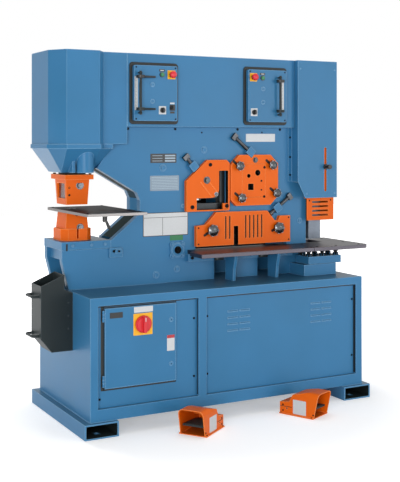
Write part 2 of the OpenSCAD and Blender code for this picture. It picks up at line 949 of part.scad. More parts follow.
// Punch table with a die hole and a stud for the clamp lever
table_l = punch_x - 85;
table_r = punch_x + 255;
table_f = mid_y - 451;
table_b = mid_y + 169;
lever_x = punch_x + 40;
lever_y = mid_y - 380;
stud_r = 6;

module punch_table() {
  color(steel) {
    difference() {
      span([table_l, table_f, holder_z], [table_r, table_b, holder_z + table_t]);
      translate([punch_x, mid_y, holder_z - 1]) cylinder(r = die_r + 4, h = table_t + 2);
      for (k = [0, 1])
        translate([punch_x + 90 + k * 90, table_f + 60, holder_z - 1]) cube([14, 240, table_t + 2]);
    }
    translate([lever_x, lever_y, holder_z - 32]) cylinder(r = stud_r, h = 32);
    translate([lever_x, lever_y, holder_z - 36]) cylinder(r = 10, h = 4);
  }
}

module table_lever() {
  top = holder_z - free_gap;
  color(black)
    difference() {
      union() {
        translate([lever_x, lever_y, holder_z - 31]) cylinder(r = 13, h = top - holder_z + 31);
        hull() {
          translate([lever_x + 6, lever_y, holder_z - 28]) sphere(r = 7, $fn = 32);
          translate([lever_x + 24, lever_y, holder_z - 66]) sphere(r = 9, $fn = 32);
        }
      }
      translate([lever_x, lever_y, holder_z - 37]) cylinder(r = stud_r + run_gap, h = 50);
      translate([lever_x, lever_y, holder_z - 37]) cylinder(r = 10 + free_gap, h = 5.5);
    }
}

// Angle shear guard with the L passage
function chamfered(a, b, c) = [
  [a[0] + c[0], a[1]], [b[0] - c[1], a[1]], [b[0], a[1] + c[1]], [b[0], b[1] - c[2]],
  [b[0] - c[2], b[1]], [a[0] + c[3], b[1]], [a[0], b[1] - c[3]], [a[0], a[1] + c[0]]
];
screw_r = 11;
screw_y = guard_y + guard_d / 2;
// Each hold-down: block centre in X and Z, and the angle of its screw
angle_hold = [along(762), above(667), 131];
rod_hold = [along(1148), above(748), 140];
flat_hold = [flat_r - 80, above(408), 36];

module screw_line(h, r, from, to) {
  translate([h[0], screw_y, h[1]]) rotate([0, 90 - h[2], 0])
    translate([0, 0, from]) cylinder(r = r, h = to - from);
}

module angle_guard() {
  color(orange)
    slab(guard_y, guard_d)
      difference() {
        polygon([
          [along(717), above(403)], [along(994), above(403)], [along(1000), above(409)],
          [along(1000), above(683)], [along(980), above(703)], [along(850), above(703)],
          [along(711), above(583)], [along(711), above(409)]
        ]);
        angle_shape();
      }
}

// Rod shear guard with a top notch, and the insert plate with its bored holes and square hole
block_half = 24;
insert = [[along(1085), above(477)], [along(1247), above(676)]];
module rod_guard() {
  seam = 0.6;
  color(orange)
    slab(guard_y, guard_d) {
      difference() {
        polygon(chamfered([along(1007), above(428)], [along(1339), above(731)], [38, 54, 54, 60]));
        window(insert, 0);
        translate([rod_hold[0], rod_hold[1]]) rotate(rod_hold[2]) square(2 * block_half + 6, center = true);
      }
      difference() {
        window(insert, -seam);
        rod_shapes(0);
      }
    }
}

// Flat shear guard with sight slots and a bottom notch
sight_pitch = 28;
sight_xs = concat([along(973), along(1000)], [for (k = [0:4]) flat_r - 310 + k * sight_pitch]);
module flat_guard() {
  right = flat_r + 6;
  sight_low = slot_z + 40;
  sight_h = 128;
  sight_r = 5.5;
  color(orange)
    slab(guard_y, guard_d)
      difference() {
        polygon([
          [along(777), slot_z], [right, slot_z], [right, above(359)], [right - 74, above(359)],
          [right - 86, above(328)], [right - 112, above(333)], [right - 164, above(393)],
          [along(911), above(396)], [along(840), above(325)], [along(777), above(319)]
        ]);
        for (x = sight_xs)
          translate([x - sight_r, sight_low]) {
            square([2 * sight_r, sight_h]);
            for (z = [0, sight_h]) translate([sight_r, z]) circle(sight_r);
          }
        translate([along(1027), slot_z - 1]) square([31, 112]);
      }
}

// Hold-down blocks on the front plate, each bored for its screw
module hold_down_blocks() {
  color(blue)
    for (h = [angle_hold, rod_hold, flat_hold])
      difference() {
        translate([h[0], plate_y - guard_d, h[1]]) rotate([0, -h[2], 0])
          translate([-block_half, 0, -block_half]) cube([2 * block_half, guard_d, 2 * block_half]);
        screw_line(h, screw_r + run_gap, -60, 60);
      }
}

// Hold-down screw with a washer face and a T head
t_head = [40, 20, 26];
module hold_screw(h, tail, reach) {
  color(black) {
    screw_line(h, screw_r, -tail, reach);
    screw_line(h, screw_r + 3, reach - 8, reach);
    translate([h[0], screw_y, h[1]]) rotate([0, 90 - h[2], 0])
      translate([-t_head[0] / 2, -t_head[1] / 2, reach - 2]) cube(t_head);
  }
}
module angle_screw() { hold_screw(angle_hold, 28, 60); }
module rod_screw() { hold_screw(rod_hold, 24, 130); }
module flat_screw() {
  hold_screw(flat_hold, 60, 100);
  color(black) screw_line(flat_hold, screw_r + 3, -64, -46);
}

// Star knobs that hold the rod and flat guards
rod_knobs = [
  [along(1059), above(666)], [along(1290), above(669)], [along(1072), above(475)], [along(1318), above(499)]
];
flat_knobs = [[along(876), above(291)], [flat_r - 87, above(287)]];
module star_knob(r) {
  lobes = 7;
  lobe_r = 7;
  neck = 12;
  grip = 16;
  dome = 12;
  rim = r - 4;
  ball = (rim * rim + dome * dome) / (2 * dome);
  cylinder(r = neck, h = neck);
  translate([0, 0, neck]) linear_extrude(grip) {
    circle(r - lobe_r / 2);
    for (k = [0:lobes - 1]) rotate(k * 360 / lobes) translate([r - lobe_r, 0]) circle(lobe_r);
  }
  translate([0, 0, neck + grip]) intersection() {
    cylinder(r = rim, h = dome);
    translate([0, 0, dome - ball]) sphere(r = ball);
  }
}
module at_guard(s) {
  translate([s[0], guard_y, s[1]]) rotate([90, 0, 0]) children();
}
module guard_knobs() {
  color(steel) {
    for (s = rod_knobs) at_guard(s) star_knob(knob_r);
    for (s = flat_knobs) at_guard(s) star_knob(knob_r + 8);
  }
}

// Shear table with a cut corner
shear_l = along(690);
shear_r = frame_r - 114;
table_low = shear_z - shear_t;
module shear_table() {
  color(steel)
    translate([0, 0, table_low])
      linear_extrude(shear_t)
        polygon([
          [shear_l, plate_y - shear_d], [shear_r, plate_y - shear_d], [shear_r, plate_y],
          [shear_l + 42, plate_y], [shear_l + 42, plate_y - 60], [shear_l, plate_y - 110]
        ]);
}

// Fixed blades in the front plate: angle bars, rod blocks and the bars above and below the flat slot.
// The back plate has guide bars in line with them.
module fixed_blades() {
  color("#77797a") {
    slab(inner_y - 28, 28) angle_bars(0, 0);
    slab(inner_y - 24, 24) rod_blocks(0, -3);
    span([flat_l, plate_y, slot_z], [flat_r, inner_y, flat_top]);
    for (y = [plate_y, far_y]) span([flat_l, y, flat_low], [flat_r, y + plate_t, shear_z]);
    slab(far_y, 28) angle_bars(0, -2);
  }
}

// Bar under the shear table with its two gusset legs
leg_xs = [shear_l + 275, shear_r - 188];
module table_supports() {
  bar_d = 34;
  bar_low = table_low - 44;
  color(blue) {
    span([shear_l + 32, plate_y - bar_d, bar_low], [shear_r - 8, plate_y, table_low]);
    for (x = leg_xs)
      translate([x, 0, 0]) rotate([90, 0, 90]) linear_extrude(20)
        polygon([
          [plate_y - bar_d, deck_z], [plate_y - bar_d, bar_low], [plate_y, bar_low], [plate_y, table_low],
          [plate_y - 150, table_low], [plate_y - 143, table_low - 40], [plate_y - 128, table_low - 90],
          [plate_y - 123, deck_z]
        ]);
  }
}

// Notcher: slotted guard, table with a die opening, and bed blocks
die_l = frame_r + 32;
die_right = frame_r + 135;
die_f = inner_y - 19;
die_b = inner_y + 3 + beam_t + 19;
guard_low = notch_low - 141;

module notcher_guard() {
  wall = 6;
  inset_y = sheet_t + 32;
  gx = frame_r - 16;
  gy = notch_y + inset_y;
  gb = notch_back - inset_y;
  slot_pitch = 27;
  color(orange)
    difference() {
      span([gx, gy, guard_low], [notch_end, gb, notch_low]);
      span([gx - 1, gy + wall, guard_low - 1], [notch_end - wall, gb - wall, notch_low - wall]);
      span([gx - 1, plate_y - 1, guard_low - 1], [frame_r + 2, gb + 1, notch_low + 1]);
      span([frame_r - 1, gy + wall, notch_low - wall - 1], [notch_end - wall, gb - wall, notch_low + 1]);
      for (k = [0:3])
        translate([gx + 40, gy - 1, guard_low + 26 + k * slot_pitch]) cube([120, wall + 2, 11]);
    }
}

table_end = frame_r + 298;
module notcher_table() {
  corner = 30;
  back = mid_y + 80;
  color(steel)
    translate([0, 0, table_low])
      linear_extrude(shear_t)
        difference() {
          polygon([
            [shear_r + 2, plate_y - shear_d], [table_end - corner, plate_y - shear_d],
            [table_end, plate_y - shear_d + corner], [table_end, back], [frame_r + 2, back],
            [frame_r + 2, plate_y - 2], [shear_r + 2, plate_y - 2]
          ]);
          translate([die_l, die_f]) square([die_right - die_l, die_b - die_f]);
        }
}

module notcher_bed() {
  bolt_xs = [-62, 38, 138];
  step = deck_z + 68;
  top = deck_z + 113;
  color(blue) {
    span([shear_r - 8, plate_y - 160, deck_z], [frame_r + 113, plate_y - 2, step]);
    span([frame_r - 82, plate_y - 150, step], [frame_r + 158, plate_y - 10, top]);
    span([frame_r + 2, plate_y, deck_z], [frame_r + 158, mid_y + 60, step]);
  }
  color(black)
    for (x = bolt_xs, y = [plate_y - 120, plate_y - 40])
      translate([frame_r + x, y, top]) {
        cylinder(r = 10, h = table_low - top);
        cylinder(r = 17, h = 14);
      }
}

// Shear beam on its pivot, with the windows, and its blades
beam_y = inner_y + 3;
beam_low = above(216);
beam_r = frame_r + 28;
nose_z = above(335);
win_play = 12;
module beam_outline() {
  polygon([
    [along(600), above(180)], [along(625), above(300)], [along(690), above(470)], [along(720), above(700)],
    [along(800), above(770)], [frame_r - 122, above(770)], [beam_r, above(715)], [beam_r, nose_z],
    [frame_r - 62, above(275)], [frame_r - 112, beam_low], [along(780), beam_low], [along(720), above(130)],
    [along(640), above(110)]
  ]);
}

module shear_beam() {
  hub_r = 86;
  color(steel)
    difference() {
      union() {
        slab(beam_y, beam_t) difference() {
          beam_outline();
          window(angle_win, win_play);
          window(rod_win, win_play);
        }
        bar_y(pivot_x, pivot_z, hub_r, beam_y + beam_t, far_y - 3);
      }
      bar_y(pivot_x, pivot_z, pin_r + run_gap, beam_y - 1, far_y + 1);
    }
}

module moving_blades() {
  color("#77797a")
    slab(beam_y, 24) {
      angle_bars(win_play, 4);
      rod_blocks(win_play, 1);
      polygon([
        [flat_l + 5, beam_low], [flat_r + 20, beam_low], [flat_r + 20, slot_z + 4], [flat_l + 5, slot_z + 10]
      ]);
    }
}

module notcher_punch() {
  side = 16;
  right = beam_r + 100;
  color("#77797a") {
    slab(beam_y - side, beam_t + 2 * side)
      polygon([
        [beam_r, nose_z], [right, nose_z], [right, slot_z + 2], [beam_r + 10, slot_z + 2],
        [beam_r + 10, nose_z - 15], [beam_r, nose_z - 15]
      ]);
    span([beam_r, beam_y - side, nose_z], [right, beam_y + beam_t + side, nose_z + 105]);
  }
}

// Pivot pin with a four-lobed keeper in front and a collar behind
module pivot_pin() {
  lobe = 46;
  color(steel) {
    bar_y(pivot_x, pivot_z, pin_r, plate_y - 14, rear_y + 14);
    slab(plate_y - 10, 10) translate([pivot_x, pivot_z]) {
      circle(44);
      for (k = [0:3]) rotate(45 + k * 90) translate([lobe, 0]) circle(15);
    }
    bar_y(pivot_x, pivot_z, 55, rear_y, rear_y + 12);
  }
}

// Slug bin with sloping rim, chamfered foot and two pull bars
bin_y = plate_y - 67;
bin_outline = [
  [along(-bin_w + 61), above(-315)], [along(0), above(-315)], [along(0), above(-4)],
  [along(-48), above(14)], [along(-48), above(96)], [along(-bin_w), above(41)], [along(-bin_w), above(-240)]
];
grip_r = 7;
bend_r = 16;
module pull_bar(z) {
  grip_out = 38;
  half = bin_d / 2 - 22;
  translate([along(-bin_w), bin_y + bin_d / 2, z]) {
    for (s = [-1, 1]) {
      translate([-grip_out + bend_r, s * half, 0]) rotate([0, 90, 0])
        cylinder(r = grip_r, h = grip_out - bend_r + 1);
      translate([-grip_out + bend_r, s * (half - bend_r), 0]) rotate([0, 0, s > 0 ? 90 : 180])
        rotate_extrude(angle = 90) translate([bend_r, 0]) circle(grip_r);
    }
    translate([-grip_out, half - bend_r, 0]) rotate([90, 0, 0]) cylinder(r = grip_r, h = 2 * (half - bend_r));
  }
}
module slug_bin() {
  inner = inset(bin_outline, sheet_t);
  color(black) {
    difference() {
      slab(bin_y, bin_d) polygon(bin_outline);
      slab(bin_y + sheet_t, bin_d - 2 * sheet_t)
        polygon([
          inner[0], inner[1], inner[2], inner[3], [along(-48 - sheet_t), above(140)],
          [along(-bin_w + sheet_t), above(140)], inner[6]
        ]);
    }
    for (h = [-15, -225]) pull_bar(above(h));
  }
}

// Foot pedals: place and heading of each, then the hooded shell and the treadle
pedal_left = [along(570), front_y - 145, 35.3];
pedal_right = [along(1245), front_y - 140, 114.8];
shell_t = 5;
treadle_in = 22;
treadle_z = 34;
treadle_back = pedal_len / 2 - 46;

module at_pedal(p) {
  translate([p[0], p[1], 0]) rotate(p[2]) children();
}

// Side profile of the hood, shrunk by g: an open mouth at the left and a low heel box at the right
hood_w = pedal_w - 16;
heel_x = pedal_len / 2;
mouth_x = -pedal_len / 2;
function hood_side(g) = let(
    lip = g > 0 ? mouth_x - 5 : mouth_x,
    toe = g > 0 ? mouth_x - 5 : mouth_x + 30,
    top = pedal_h - g
  )
  [
    [toe, g], [heel_x - g, g], [heel_x - g, 66 - g], [heel_x - 62, 74 - g],
    [heel_x - 84, 116 - g], [mouth_x + 64, top], [lip, top]
  ];

// Cross section of the hood, shrunk by g, with rounded shoulders
module hood_arch(g) {
  r = 30 - g;
  half = hood_w / 2 - g;
  top = pedal_h - g;
  translate([-half, 0]) square([2 * half, top - r]);
  translate([-half + r, 0]) square([2 * (half - r), top]);
  for (s = [-1, 1]) translate([s * (half - r), top - r]) circle(r);
}
module hood(g) {
  intersection() {
    translate([0, hood_w / 2, 0]) rotate([90, 0, 0]) linear_extrude(hood_w) polygon(hood_side(g));
    translate([mouth_x - 6, 0, 0]) rotate([90, 0, 90]) linear_extrude(pedal_len + 12) hood_arch(g);
  }
}

module pedal_shell(p) {
  foot_t = 6;
  at_pedal(p)
    difference() {
      union() {
        hood(0);
        translate([mouth_x + 30, -pedal_w / 2, 0]) cube([pedal_len - 30, pedal_w, foot_t]);
      }
      hood(shell_t);
      at_treadle_pin() cylinder(r = pin_small + run_gap, h = pedal_w + 2, center = true);
    }
}

pin_small = 5;
module at_treadle_pin() {
  translate([treadle_back, 0, treadle_z]) rotate([90, 0, 0]) children();
}

module pedal_shells() {
  color(orange) {
    pedal_shell(pedal_left);
    pedal_shell(pedal_right);
  }
}

// Treadle: sloping plate on a cross pin at the heel
module treadle(p) {
  half = hood_w / 2 - shell_t - 6;
  color(black)
    at_pedal(p) {
      at_treadle_pin() cylinder(r = pin_small, h = pedal_w - 17, center = true);
      translate([0, half, 0]) rotate([90, 0, 0])
        linear_extrude(2 * half)
          polygon([
            [treadle_back + 8, treadle_z - 6], [treadle_back + 8, treadle_z + 8],
            [treadle_back - 10, treadle_z + 12], [mouth_x + 40, treadle_z + 20],
            [mouth_x + 36, treadle_z + 12], [treadle_back - 10, treadle_z - 4]
          ]);
    }
}
module treadle_left() { treadle(pedal_left); }
module treadle_right() { treadle(pedal_right); }

// Electrical door: folded tray with two quarter-turn latches and the disconnect's shaft hole
disc_x = door_l + 218;
disc_z = door_z + 322;
shaft_r = 8;
module electrical_door() {
  color(blue)
    difference() {
      union() {
        difference() {
          span([door_l, door_y, door_z], [door_r, door_y + door_d, door_top]);
          span(
            [door_l + sheet_t, door_y + sheet_t, door_z + sheet_t],
            [door_r - sheet_t, door_y + door_d + 1, door_top - sheet_t]
          );
        }
        for (h = [94, 331]) bar_y(door_r - 30, door_z + h, 11, door_y - 5, door_y + 2);
        hinge_knuckles();
      }
      bar_y(disc_x, disc_z, shaft_r + run_gap, door_y - 1, door_y + sheet_t + 1);
    }
}

// Disconnect knob with a finger bar
module disconnect_knob() {
  gap = 1;
  color(red)
    translate([disc_x, door_y - gap, disc_z]) rotate([90, 0, 0]) {
      cylinder(r = disc_r, h = 12);
      translate([0, 0, 12]) cylinder(r = disc_r - 6, h = 6);
      translate([-9, -disc_r + 4, 12]) cube([18, 2 * disc_r - 8, 24]);
      translate([0, 0, -24]) cylinder(r = shaft_r, h = 24);
    }
}

// Notcher stroke stop: a clamp knob that slides in the cover's slot
stop_z = above(654);
module notch_stop() {
  color(black)
    translate([stop_x, notch_y, stop_z]) rotate([90, 0, 0]) {
      translate([0, 0, free_gap]) cylinder(r = 17, h = 8);
      translate([0, 0, 8]) cylinder(r = 9, h = 30);
      translate([0, 0, 36]) cylinder(r = 14, h = 14);
      translate([0, 0, -9]) cylinder(r = stop_w / 2 - run_gap, h = 10);
      translate([0, 0, -9]) cylinder(r = 16, h = 5);
    }
}

base_cabinet();
fork_tubes();
enclosure_panel();
louvre_panel();
electrical_box();
hydraulic_unit();
front_plate();
back_plate();
frame_core();
bolster();
ram_housing();
tower_cover();
upper_cover();
notcher_cover();
station_panels();
station_trims();
stroke_rods();
cylinders();
stripper();
stripper_window();
die_holder();
die();
punch_table();
angle_guard();
rod_guard();
flat_guard();
hold_down_blocks();
guard_knobs();
shear_table();
fixed_blades();
table_supports();
notcher_guard();
notcher_table();
notcher_bed();
slug_bin();
pedal_shells();
pivot_pin();
punch_ram();
punch();
shear_beam();
moving_blades();
notcher_punch();
electrical_door();
disconnect_knob();
estop_left();
estop_right();
start_left();
start_right();
selector_left();
selector_right();
key_switch();
treadle_left();
treadle_right();
angle_screw();
rod_screw();
flat_screw();
table_lever();
notch_stop();
stroke_stop_left();
stroke_stop_right();
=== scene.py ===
"""Dresses the hydraulic ironworker: finishes, fasteners, plates, light and camera."""

import json
import logging
import math
from dataclasses import dataclass, field
from enum import Enum
from itertools import product
from typing import Any, Iterable, Self, Sequence

import bmesh
import bpy
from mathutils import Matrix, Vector


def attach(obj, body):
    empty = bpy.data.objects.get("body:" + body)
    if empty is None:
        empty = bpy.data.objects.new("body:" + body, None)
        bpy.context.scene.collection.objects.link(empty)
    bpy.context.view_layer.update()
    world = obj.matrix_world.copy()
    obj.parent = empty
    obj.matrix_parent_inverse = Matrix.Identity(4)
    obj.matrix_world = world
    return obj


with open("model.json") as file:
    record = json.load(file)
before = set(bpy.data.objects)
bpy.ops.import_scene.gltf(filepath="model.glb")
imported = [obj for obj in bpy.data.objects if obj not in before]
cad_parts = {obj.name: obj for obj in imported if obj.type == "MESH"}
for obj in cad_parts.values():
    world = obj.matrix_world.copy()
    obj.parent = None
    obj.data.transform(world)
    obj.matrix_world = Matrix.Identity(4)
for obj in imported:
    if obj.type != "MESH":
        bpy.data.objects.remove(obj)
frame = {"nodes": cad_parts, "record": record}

LOG = logging.getLogger("ironworker")
MM = 0.001
MACHINE = "machine"
DOOR = "electrical_door"
OUT_FRONT = Vector((0.0, -1.0, 0.0))
OUT_BACK = Vector((0.0, 1.0, 0.0))
OUT_UP = Vector((0.0, 0.0, 1.0))
OUT_DOWN = Vector((0.0, 0.0, -1.0))
OUT_LEFT = Vector((-1.0, 0.0, 0.0))
OUT_RIGHT = Vector((1.0, 0.0, 0.0))
BOTH = (-1, 1)
CREASE = math.radians(32.0)

# A Spot is a place on a face, a Disc adds a radius, and a Rect a width and a height.
Point = tuple[float, float, float]
Spot = tuple[float, float]
Disc = tuple[float, float, float]
Rect = tuple[float, float, float, float]
Axes = tuple[Vector, Vector, Vector]
Row = list[bmesh.types.BMVert]


class Slot(Enum):
    """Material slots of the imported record."""

    BLUE = "blue_enamel"
    ORANGE = "orange_enamel"
    BLACK = "black_paint"
    LINER = "liner_paint"
    GREY = "grey_paint"
    STEEL = "ground_steel"
    TOOL = "tool_steel"
    RUBBER = "rubber_trim"
    PLASTIC = "black_plastic"
    RED = "red_plastic"
    GREEN = "green_plastic"
    CLEAR = "clear_plastic"
    KNOB = "knob_chrome"


class Head(Enum):
    """Kinds of fastener head."""

    HEX = "hex"
    SOCKET = "socket"
    DOME = "dome"


class Section(Enum):
    """Plan of one ring of a turned form."""

    ROUND = "round"
    HEX = "hex"


ROUND, SIX = Section.ROUND, Section.HEX
Ring = tuple[float, float, Section]

# Each ring of a head: share of its radius, share of its height, chamfer in radii, and plan.
HEAD_RINGS: dict[Head, tuple[tuple[float, float, float, Section], ...]] = {
    Head.HEX: ((1.0, 0.0, 0.0, SIX), (1.0, 0.84, 0.0, SIX), (0.84, 1.0, 0.0, ROUND),
               (0.0, 1.0, 0.0, ROUND)),
    Head.SOCKET: ((1.0, 0.0, 0.0, ROUND), (1.0, 1.0, 0.1, ROUND), (0.9, 1.0, 0.0, ROUND),
                  (0.62, 1.0, 0.0, ROUND), (0.55, 0.95, 0.0, SIX), (0.55, 0.45, 0.0, SIX),
                  (0.0, 0.4, 0.0, ROUND)),
    Head.DOME: (*((math.cos(math.pi / 12 * k), math.sin(math.pi / 12 * k), 0.0, ROUND)
                  for k in range(6)), (0.0, 1.0, 0.0, ROUND)),
}
# A washer's thickness, its radius and the radius of its worn rim, as shares of the head's radius.
WASHER_THICK, WASHER_REACH, WASHER_RIM = 0.18, 1.45, 1.38


def linear(colour: str) -> tuple[float, float, float, float]:
    """Turns an sRGB hex value to linear colour.

    Args:
        colour: Hex value such as "#4682AF".

    Returns:
        Linear red, green and blue, and full alpha.
    """
    parts = [int(colour[i:i + 2], 16) / 255 for i in (1, 3, 5)]
    red, green, blue = (c / 12.92 if c <= 0.04045 else ((c + 0.055) / 1.055) ** 2.4 for c in parts)
    return red, green, blue, 1.0


def add(tree: bpy.types.NodeTree, kind: str, props: dict[str, Any],
        inputs: dict[Any, Any]) -> bpy.types.Node:
    """Adds one node with its settings and links.

    Args:
        tree: Node tree that takes the node.
        kind: Blender's name of the node type.
        props: Settings of the node itself.
        inputs: Value of each input, or the output socket that feeds it.

    Returns:
        The new node.
    """
    node = tree.nodes.new(kind)
    for name, value in props.items():
        setattr(node, name, value)
    for name, value in inputs.items():
        if isinstance(value, bpy.types.NodeSocket):
            tree.links.new(value, node.inputs[name])
        else:
            node.inputs[name].default_value = value
    return node


def per_mm(size: float) -> float:
    """Texture scale at which one feature is that many millimetres wide."""
    return 1.0 / (size * MM)


def empty_material(name: str) -> tuple[bpy.types.Material, bpy.types.NodeTree]:
    """Makes a material with an empty node tree.

    Args:
        name: Name of the material.

    Returns:
        The material and its node tree.
    """
    material = bpy.data.materials.new(name)
    material.use_nodes = True
    material.node_tree.nodes.clear()
    return material, material.node_tree


def show(name: str, data: bpy.types.ID) -> bpy.types.Object:
    """Puts new data into the scene.

    Args:
        name: Name of the object.
        data: Mesh, lamp or camera that it shows.

    Returns:
        The new object.
    """
    obj = bpy.data.objects.new(name, data)
    bpy.context.collection.objects.link(obj)
    return obj


@dataclass(frozen=True)
class Finish:
    """Base of every finish: a name and a colour."""

    name: str
    colour: str

    def make(self) -> bpy.types.Material:
        """Returns the Blender material of this finish, made once."""
        known = bpy.data.materials.get(self.name)
        return known if known else self.build()

    def build(self) -> bpy.types.Material:
        """Builds the material; each kind of finish has its own way."""
        raise NotImplementedError


@dataclass(frozen=True)
class SprayedEnamel(Finish):
    """Sprayed machine enamel: fine orange peel, a soft sheen, painted edge highlights and dust with
    painted shade on top.

    Sizes are in millimetres, and a band says at which two values a share starts and is full.
    """

    shade: str
    # Pale colour of the painted highlight along the edges.
    edge: str
    # Dark colour of dust and painted shade on faces that look up.
    top_dust_and_shade: str
    roughness: float = 0.36
    specular: float = 0.25
    dust_and_shade_share: float = 0.7
    upright: str = ""
    spread: Spot = (-0.06, 0.08)
    cloud: float = 420.0
    cloud_band: Spot = (0.35, 0.7)
    # Radius, band and share of the painted edge highlight.
    rim: float = 7.0
    highlight_band: Spot = (0.992, 0.88)
    highlight_share: float = 0.7
    top_band: Spot = (0.8, 0.97)
    left_band: Spot = (-0.9, -0.98)
    peel: float = 5.0
    peel_strength: float = 0.05
    peel_depth: float = 0.4

    def build(self) -> bpy.types.Material:
        """Returns the enamel with its film clouds, painted edge highlights, dust with painted shade
        on top faces and orange peel.
        """
        material, tree = empty_material(self.name)
        place = add(tree, "ShaderNodeTexCoord", {}, {}).outputs["Object"]
        geometry = add(tree, "ShaderNodeNewGeometry", {}, {})
        cloud = add(tree, "ShaderNodeTexNoise", {}, {
            "Vector": place, "Scale": per_mm(self.cloud), "Detail": 3.0})
        soft = add(tree, "ShaderNodeMapRange", {}, {
            "Value": cloud.outputs["Fac"],
            "From Min": self.cloud_band[0], "From Max": self.cloud_band[1]})
        film = add(tree, "ShaderNodeMix", {"data_type": "RGBA"}, {
            0: soft.outputs["Result"], 6: linear(self.colour), 7: linear(self.shade)})
        # Painted highlight: near an edge the colour is mixed toward the pale edge colour.
        rounded = add(tree, "ShaderNodeBevel", {"samples": 6}, {"Radius": self.rim * MM})
        turn = add(tree, "ShaderNodeVectorMath", {"operation": "DOT_PRODUCT"}, {
            0: rounded.outputs["Normal"], 1: geometry.outputs["Normal"]})
        rim = add(tree, "ShaderNodeMapRange", {}, {
            "Value": turn.outputs["Value"], "From Min": self.highlight_band[0],
            "From Max": self.highlight_band[1], "To Max": self.highlight_share})
        highlighted = add(tree, "ShaderNodeMix", {"data_type": "RGBA"}, {
            0: rim.outputs["Result"], 6: film.outputs[2], 7: linear(self.edge)})
        # Dust and painted shade: faces that look up are mixed toward the dark top colour.
        facing = add(tree, "ShaderNodeSeparateXYZ", {}, {
            "Vector": geometry.outputs["True Normal"]})
        dust_and_shade_mask = add(tree, "ShaderNodeMapRange", {}, {
            "Value": facing.outputs["Z"], "From Min": self.top_band[0],
            "From Max": self.top_band[1], "To Max": self.dust_and_shade_share})
        paint = add(tree, "ShaderNodeMix", {"data_type": "RGBA"}, {
            0: dust_and_shade_mask.outputs["Result"], 6: highlighted.outputs[2], 7: linear(self.top_dust_and_shade)})
        if self.upright:
            left = add(tree, "ShaderNodeMapRange", {}, {
                "Value": facing.outputs["X"],
                "From Min": self.left_band[0], "From Max": self.left_band[1]})
            paint = add(tree, "ShaderNodeMix", {"data_type": "RGBA"}, {
                0: left.outputs["Result"], 6: paint.outputs[2], 7: linear(self.upright)})
        gloss = add(tree, "ShaderNodeMapRange", {}, {
            "Value": cloud.outputs["Fac"],
            "To Min": self.roughness + self.spread[0], "To Max": self.roughness + self.spread[1]})
        skin = add(tree, "ShaderNodeTexNoise", {}, {
            "Vector": place, "Scale": per_mm(self.peel), "Detail": 1.0})
        bump = add(tree, "ShaderNodeBump", {}, {
            "Height": skin.outputs["Fac"], "Strength": self.peel_strength,
            "Distance": self.peel_depth * MM})
        shader = add(tree, "ShaderNodeBsdfPrincipled", {}, {
            "Base Color": paint.outputs[2], "Roughness": gloss.outputs["Result"],
            "Normal": bump.outputs["Normal"], "Specular IOR Level": self.specular, "IOR": 1.5})
        add(tree, "ShaderNodeOutputMaterial", {}, {"Surface": shader.outputs["BSDF"]})
        return material


